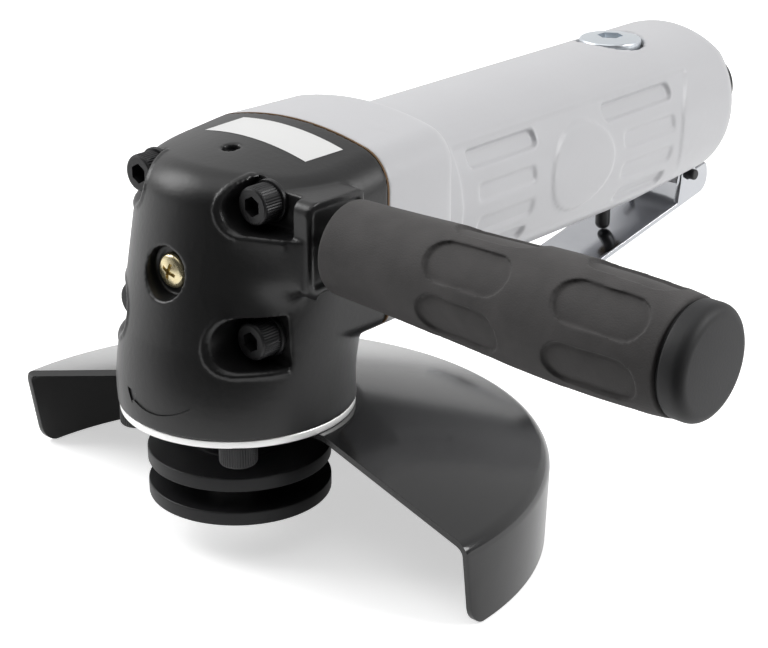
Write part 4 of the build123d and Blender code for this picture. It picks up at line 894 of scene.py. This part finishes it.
plug = turned(
    "valve_plug_dome",
    (
        (0, plug_seat - plug_shank_l, 0),
        (plug_shank_r, plug_seat - plug_shank_l, plug_shank_edge),
        (plug_shank_r, plug_seat, 0),
        (plug_r, plug_seat, plug_brim),
        (plug_r, plug_seat + plug_side_h, plug_shoulder),
        (plug_r / 2, plug_top - plug_dome_drop, plug_dome_bend),
        (0, plug_top, 0),
    ),
    ring=False,
)
hex_socket(plug, plug_socket_w, plug_socket_depth, plug_top * mm)
shade(plug)
set_down(plug, (0, valve_y, 0))
zinc = machined(
    "zinc_plate", zinc_shade, rough=(0.3, 0.42), rings=3000, depth=0.01 * mm, axis=(0, valve_y, 0)
)
hand_over(plug, "housing", "zinc", zinc, "valve_plug")
rubber = grained("rubber_black", rubber_shade, rough=(0.6, 0.75), bumps=3000, depth=0.01 * mm)
dress(rubber, "valve_plug_o_ring", "valve_seal")

# Throttle lever
# A strip of steel bent up into two ears at the rear, polished and chromed, that swings on a
# black pin through the lug under the body.
lever_edge = 0.45 * mm
lever_flat = radians(1)
pin_edge = 0.4
chrome_shade = ((0.42, 0.43, 0.46), (0.54, 0.55, 0.57))

lever = blank_from("throttle_lever", "lever_strip")
bpy.ops.mesh.dissolve_limited(angle_limit=lever_flat)
bpy.ops.object.mode_set(mode="OBJECT")
round_edges(lever, lever_edge, sharper_than=40)
chrome = grained(
    "chrome", chrome_shade, rough=(0.10, 0.2), bumps=300, depth=0.004 * mm, patches=80, metal=1.0
)
hand_over(lever, "lever", "chrome", chrome, "throttle_lever")

pin_low, pin_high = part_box("lever_pin")
pin_r, pin_l = (pin_high.z - pin_low.z) / 2 / mm, (pin_high.x - pin_low.x) / mm
lever_pin = turned(
    "lever_pivot_pin",
    ((0, 0, 0), (pin_r, 0, pin_edge), (pin_r, pin_l, pin_edge), (0, pin_l, 0)),
    steps=48,
    ring=False,
)
pin_end = (pin_low.x, (pin_low.y + pin_high.y) / 2, (pin_low.z + pin_high.z) / 2)
set_down(lever_pin, pin_end, (0, pi / 2, 0))
hand_over(lever_pin, "housing", "black_oxide", black_oxide, "lever_pin")

# Valve pin
# A black steel pin with a round end, which the lever pushes up into the valve. It slides in a
# bronze bush in the underside of the body.
valve_low, valve_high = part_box("valve_pin")
valve_bottom, poppet_top, poppet_r = valve_low.z / mm, valve_high.z / mm, valve_high.x / mm
valve_pin_r, valve_pin_round = 2.0, 1.6
poppet_t, poppet_seat_edge, poppet_edge = 3.0, 0.2, 0.3
# The bush's bronze tone is far darker than bare bronze: it is a painted dark reflection, so that the
# bush shows black.
bronze_darkened_shade = ((0.05, 0.036, 0.022), (0.08, 0.058, 0.036))

valve_pin = turned(
    "valve_push_pin",
    (
        (0, valve_bottom, 0),
        (valve_pin_r, valve_bottom, valve_pin_round),
        (valve_pin_r, poppet_top - poppet_t, 0),
        (poppet_r, poppet_top - poppet_t, poppet_seat_edge),
        (poppet_r, poppet_top, poppet_edge),
        (0, poppet_top, 0),
    ),
    steps=48,
    ring=False,
)
set_down(valve_pin, (0, valve_y, 0))
hand_over(valve_pin, "valve_pin", "black_oxide", black_oxide, "valve_pin")
bronze = grained(
    "bronze", bronze_darkened_shade, rough=(0.4, 0.55), bumps=1500, depth=0.01 * mm, patches=200, metal=1.0
)
dress(bronze, "valve_bush")

# Valve spring
# A coil of plain steel wire between the valve plug and the head of the pin, which closes the
# valve. Its mesh is a fixed copy of the solid, joined to no body, so it does not follow the pin.
steel_shade = ((0.48, 0.48, 0.48), (0.62, 0.62, 0.62))

spring = blank_from("valve_spring", "valve_spring_coil")
close_up(spring)
plain_steel = grained(
    "plain_steel", steel_shade, rough=(0.25, 0.4), bumps=1500, depth=0.01 * mm, patches=150, metal=1.0
)
spring.data.materials.append(plain_steel)
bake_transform(spring)
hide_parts("valve_spring")

# Air inlet and exhaust
# A black steel inlet bushing with a pipe thread stands out of the rear face. Its collar holds a
# black plastic ring with eight slots, which turns the exhaust air away from the hand.
inlet_low, inlet_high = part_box("inlet_bushing")
deflector_low, deflector_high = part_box("exhaust_deflector")
bushing_r, bushing_l = 8.47, (inlet_high.y - inlet_low.y) / mm
collar_r, collar_gap, collar_edge, collar_foot_edge = inlet_high.x / mm, 0.03, 0.5, 0.2
way_r = 4.5
thread_minor_r, thread_rise, thread_l, thread_turns = 5.75, 0.75, 16.0, 12
thread_lead, mouth_flare, mouth_edge = 0.1, 0.3, 0.1
deflector_r, deflector_l = deflector_high.x / mm, (deflector_high.y - deflector_low.y) / mm
deflector_fit, deflector_foot, deflector_round, deflector_bore_edge = 0.05, 0.2, 1.2, 0.4
slot_l, slot_w, slot_count = 4.5 * mm, 3.0 * mm, 8
facing_rear = (-pi / 2, 0, 0)
deflector_shade = ((0.014, 0.014, 0.014), (0.022, 0.022, 0.022))
felt_shade = ((0.16, 0.155, 0.14), (0.26, 0.25, 0.23))

thread_pitch = thread_l / thread_turns
thread_crest_r = thread_minor_r + thread_rise
collar_start = (deflector_high.y - inlet_low.y) / mm + collar_gap
bushing_path = [(way_r, 0, 0), (way_r, bushing_l - thread_l, 0)]
for number in range(thread_turns):
    root = bushing_l - thread_l + (number + thread_lead) * thread_pitch
    bushing_path.append((thread_minor_r, root, 0))
    bushing_path.append((thread_crest_r, root + thread_pitch / 2, 0))
bushing_path += [
    (thread_crest_r + mouth_flare, bushing_l, mouth_edge),
    (collar_r, bushing_l, collar_edge),
    (collar_r, collar_start, collar_foot_edge),
    (bushing_r, collar_start, 0),
    (bushing_r, 0, 0),
]
bushing = turned("inlet_bushing_turned", bushing_path, steps=72)
set_down(bushing, (0, inlet_low.y, motor_axis_z), facing_rear)
hand_over(bushing, "housing", "black_oxide", black_oxide, "inlet_bushing")

deflector = turned(
    "exhaust_ring",
    (
        (bushing_r + deflector_fit, 0, 0),
        (deflector_r, 0, deflector_foot),
        (deflector_r, deflector_l, deflector_round),
        (bushing_r + deflector_fit, deflector_l, deflector_bore_edge),
    ),
)
slot_stretch = slot_l - slot_w
slot_start_r = (deflector_r + bushing_r) / 2 * mm - slot_stretch / 2
for number in range(slot_count):
    turn = number * 2 * pi / slot_count
    bpy.ops.object.select_all(action="DESELECT")
    bpy.ops.mesh.primitive_cylinder_add(vertices=32, radius=slot_w / 2, depth=4 * deflector_l * mm)
    slot_cutter = bpy.context.object
    bpy.ops.object.mode_set(mode="EDIT")
    choose(slot_cutter, lambda vertex: vertex.co.x > 0, "VERT")
    bpy.ops.transform.translate(value=(slot_stretch, 0, 0))
    bpy.ops.object.mode_set(mode="OBJECT")
    set_down(slot_cutter, (slot_start_r * cos(turn), slot_start_r * sin(turn), 0), (0, 0, turn))
    cut_out(deflector, slot_cutter)
shade(deflector)
set_down(deflector, (0, deflector_low.y, motor_axis_z), facing_rear)
deflector_black = grained(
    "deflector_black", deflector_shade, rough=(0.45, 0.6), bumps=2200, depth=0.02 * mm
)
hand_over(deflector, "housing", "deflector_plastic", deflector_black, "exhaust_deflector")
felt = grained("felt_grey", felt_shade, rough=(0.9, 1.0), bumps=2500, depth=0.15 * mm, patches=400)
dress(felt, "exhaust_silencer", "spindle_seal")
dress(plain_steel, "inlet_strainer")

# Side handle
# A charcoal moulded grip on a steel stud, swelling towards the hand, with two rows of finger
# slots. A smoother cap is pressed into its outer end.
grip_voxel, grip_passes, grip_share = 0.3 * mm, 4, 0.9
handle_x, handle_z = 31.0, 58.1
handle_droop = radians(1.3)
grip_l = 87.5
stud_r, stud_rod_out = 4.0, 8.0
cap_plug_r, cap_plug_l, cap_plug_edge, cap_rod_back = 7.97, 8.0, 0.5, 3.0
cap_r, cap_l, cap_round, cap_edge = 11.6, 5.9, 2.4, 0.4
seam_r, seam_w, seam_step, seam_edge = 10.9, 0.8, 0.05, 0.2
grip_shade = ((0.050, 0.048, 0.048), (0.096, 0.092, 0.091))
cap_shade = ((0.014, 0.014, 0.015), (0.022, 0.022, 0.023))

handle_foot = Vector((handle_x, 0, handle_z))
along_handle = Vector((cos(handle_droop), 0, -sin(handle_droop)))
handle_turn = (0, pi / 2 + handle_droop, 0)
grip = blank_from("handle_grip", "grip_moulding")
for out, hole_r in ((stud_rod_out, stud_r), (grip_l - cap_rod_back, cap_plug_r)):
    stop_up((handle_foot + out * along_handle) * mm, hole_r * mm, turn=handle_turn)
draw_skin(grip, grip_voxel, grip_passes)
thin_out(grip, grip_share)
grip_charcoal = grained(
    "grip_charcoal",
    grip_shade,
    rough=(0.6, 0.75),
    bumps=2600,
    depth=0.07 * mm,
    patches=160,
    specular=0.16,
)
hand_over(grip, "housing", "grip_plastic", grip_charcoal, "handle_grip")

cap = turned(
    "grip_end_cap",
    (
        (0, -cap_plug_l, 0),
        (cap_plug_r, -cap_plug_l, cap_plug_edge),
        (cap_plug_r, 0, 0),
        (seam_r, seam_step, 0),
        (seam_r, seam_w, seam_edge),
        (cap_r, seam_w, cap_edge),
        (cap_r, cap_l, cap_round),
        (0, cap_l, 0),
    ),
    steps=128,
    ring=False,
)
set_down(cap, (handle_foot + grip_l * along_handle) * mm, handle_turn)
cap_charcoal = grained(
    "cap_charcoal", cap_shade, rough=(0.5, 0.62), bumps=1600, depth=0.02 * mm, specular=0.36
)
hand_over(cap, "housing", "cap_plastic", cap_charcoal, "handle_end_cap")
dress(plain_steel, "handle_stud")

# Spindle, gears and bearings
# The turning parts inside the head: a ground steel spindle with a threaded tail, a pair of
# bevel gears and four ball bearings.
dress(bright_steel, "spindle", "spindle_key", "bevel_gear", "bevel_pinion")
for bearing in ("lower", "upper", "front", "rear"):
    dress(bright_steel, *(f"{bearing}_bearing_{piece}" for piece in ("outer", "inner", "balls")))

# Vane motor
# A steel rotor with resin vanes in an iron liner, between two iron end plates that one dowel
# lines up.
iron_shade = ((0.14, 0.14, 0.14), (0.22, 0.22, 0.215))
vane_shade = ((0.16, 0.085, 0.04), (0.24, 0.14, 0.07))

iron = grained(
    "cast_iron", iron_shade, rough=(0.4, 0.6), bumps=1200, depth=0.02 * mm, patches=150, metal=0.9
)
vane_brown = grained(
    "vane_resin", vane_shade, rough=(0.5, 0.65), bumps=1500, depth=0.02 * mm, patches=300
)
dress(iron, "cylinder_liner", "front_end_plate", "rear_end_plate")
dress(plain_steel, "rotor", "liner_dowel")
dress(vane_brown, "rotor_vanes")

# Floor and surroundings
# A white table with a pale sweep behind it and a dark room in front, where the camera stands,
# lit by three soft boxes.
table_size, table_front = 6.0, 0.14
floor_gap = 0.05 * mm
floor_white = (0.92, 0.92, 0.92, 1)
floor_rough = 0.9
floor_seen_glow = (0.56, 0.56, 0.56, 1)
floor_mirrored_glow = (0.24, 0.24, 0.24, 1)
room_dark, room_pale = (0.08, 0.08, 0.08, 1), (0.85, 0.85, 0.85, 1)
room_white = (1, 1, 1, 1)
room_fade = 0.5
to_sweep = Vector((-0.66, 0.75, 0))
lamp_aim = Vector((0.01, 0.05, 0.04))
soft_boxes = (
    ("key_box", (-0.75, -0.35, 0.65), 0.6, 6.0),
    ("top_box", (0.1, -0.25, 1.05), 0.9, 3.2),
    ("side_box", (0.85, 0.42, 0.52), 0.45, 6.2),
)

bpy.ops.object.select_all(action="DESELECT")
bpy.ops.mesh.primitive_plane_add(size=table_size)
floor = bpy.context.object
floor.name = "floor"
table_middle = to_sweep * (table_size / 2 - table_front)
table_middle.z = cad_low.z - floor_gap
set_down(floor, table_middle, (0, 0, atan2(-to_sweep.x, to_sweep.y)))
floor_paper = bpy.data.materials.new("floor_paper")
floor_paper.use_nodes = True
floor_nodes, floor_links = floor_paper.node_tree.nodes, floor_paper.node_tree.links
floor_shader = floor_nodes["Principled BSDF"]
floor_shader.inputs["Base Color"].default_value = floor_white
floor_shader.inputs["Roughness"].default_value = floor_rough
floor_shader.inputs["Specular IOR Level"].default_value = 0.0
floor_view = floor_nodes.new("ShaderNodeLightPath")
floor_seen = floor_nodes.new("ShaderNodeMath")
floor_seen.operation = "MAXIMUM"
floor_glow = floor_nodes.new("ShaderNodeMix")
floor_glow.data_type = "RGBA"
floor_glow.inputs["A"].default_value = floor_mirrored_glow
floor_glow.inputs["B"].default_value = floor_seen_glow
floor_links.new(floor_view.outputs["Is Camera Ray"], floor_glow.inputs["Factor"])
floor_links.new(floor_glow.outputs["Result"], floor_shader.inputs["Emission Color"])
floor_links.new(floor_view.outputs["Is Camera Ray"], floor_seen.inputs[0])
floor_links.new(floor_view.outputs["Is Glossy Ray"], floor_seen.inputs[1])
floor_links.new(floor_seen.outputs["Value"], floor_shader.inputs["Emission Strength"])
floor.data.materials.append(floor_paper)

room = bpy.data.worlds.new("studio")
bpy.context.scene.world = room
room.use_nodes = True
room_nodes, room_links = room.node_tree.nodes, room.node_tree.links
looking = room_nodes.new("ShaderNodeTexCoord")
towards = room_nodes.new("ShaderNodeVectorMath")
towards.operation = "DOT_PRODUCT"
towards.inputs[1].default_value = to_sweep
fade = room_nodes.new("ShaderNodeMapRange")
fade.interpolation_type = "SMOOTHSTEP"
fade.inputs["From Min"].default_value = -room_fade
fade.inputs["From Max"].default_value = room_fade
around = room_nodes.new("ShaderNodeMix")
around.data_type = "RGBA"
around.inputs["A"].default_value = room_dark
around.inputs["B"].default_value = room_pale
backdrop = room_nodes["Background"]
seen = room_nodes.new("ShaderNodeBackground")
seen.inputs["Color"].default_value = room_white
room_view = room_nodes.new("ShaderNodeLightPath")
room_mix = room_nodes.new("ShaderNodeMixShader")
room_links.new(looking.outputs["Generated"], towards.inputs[0])
room_links.new(towards.outputs["Value"], fade.inputs["Value"])
room_links.new(fade.outputs["Result"], around.inputs["Factor"])
room_links.new(around.outputs["Result"], backdrop.inputs["Color"])
room_links.new(room_view.outputs["Is Camera Ray"], room_mix.inputs["Fac"])
room_links.new(backdrop.outputs["Background"], room_mix.inputs[1])
room_links.new(seen.outputs["Background"], room_mix.inputs[2])
room_links.new(room_mix.outputs["Shader"], room_nodes["World Output"].inputs["Surface"])

for name, spot, size, power in soft_boxes:
    lamp = bpy.data.lights.new(name, "AREA")
    lamp.size = size
    lamp.energy = power
    holder = bpy.data.objects.new(name, lamp)
    holder.location = spot
    holder.rotation_euler = (lamp_aim - Vector(spot)).to_track_quat("-Z", "Y").to_euler()
    bpy.context.scene.collection.objects.link(holder)

# Camera
# It looks at the tool from the front and the handle side, a little from above, through a long
# lens.
camera_spot = Vector((302.01, -292.76, 198.04)) * mm
camera_aim = Vector((-0.6144, 0.6975, -0.3689))
camera_lens, camera_sensor_w = 94.37, 36.0
camera_near = 0.01

eye = bpy.data.cameras.new("eye")
eye.lens = camera_lens
eye.sensor_width = camera_sensor_w
eye.clip_start = camera_near
camera = bpy.data.objects.new("eye", eye)
camera.location = camera_spot
camera.rotation_euler = camera_aim.to_track_quat("-Z", "Y").to_euler()
bpy.context.scene.collection.objects.link(camera)
bpy.context.scene.camera = camera
bpy.context.scene.view_settings.view_transform = "Standard"
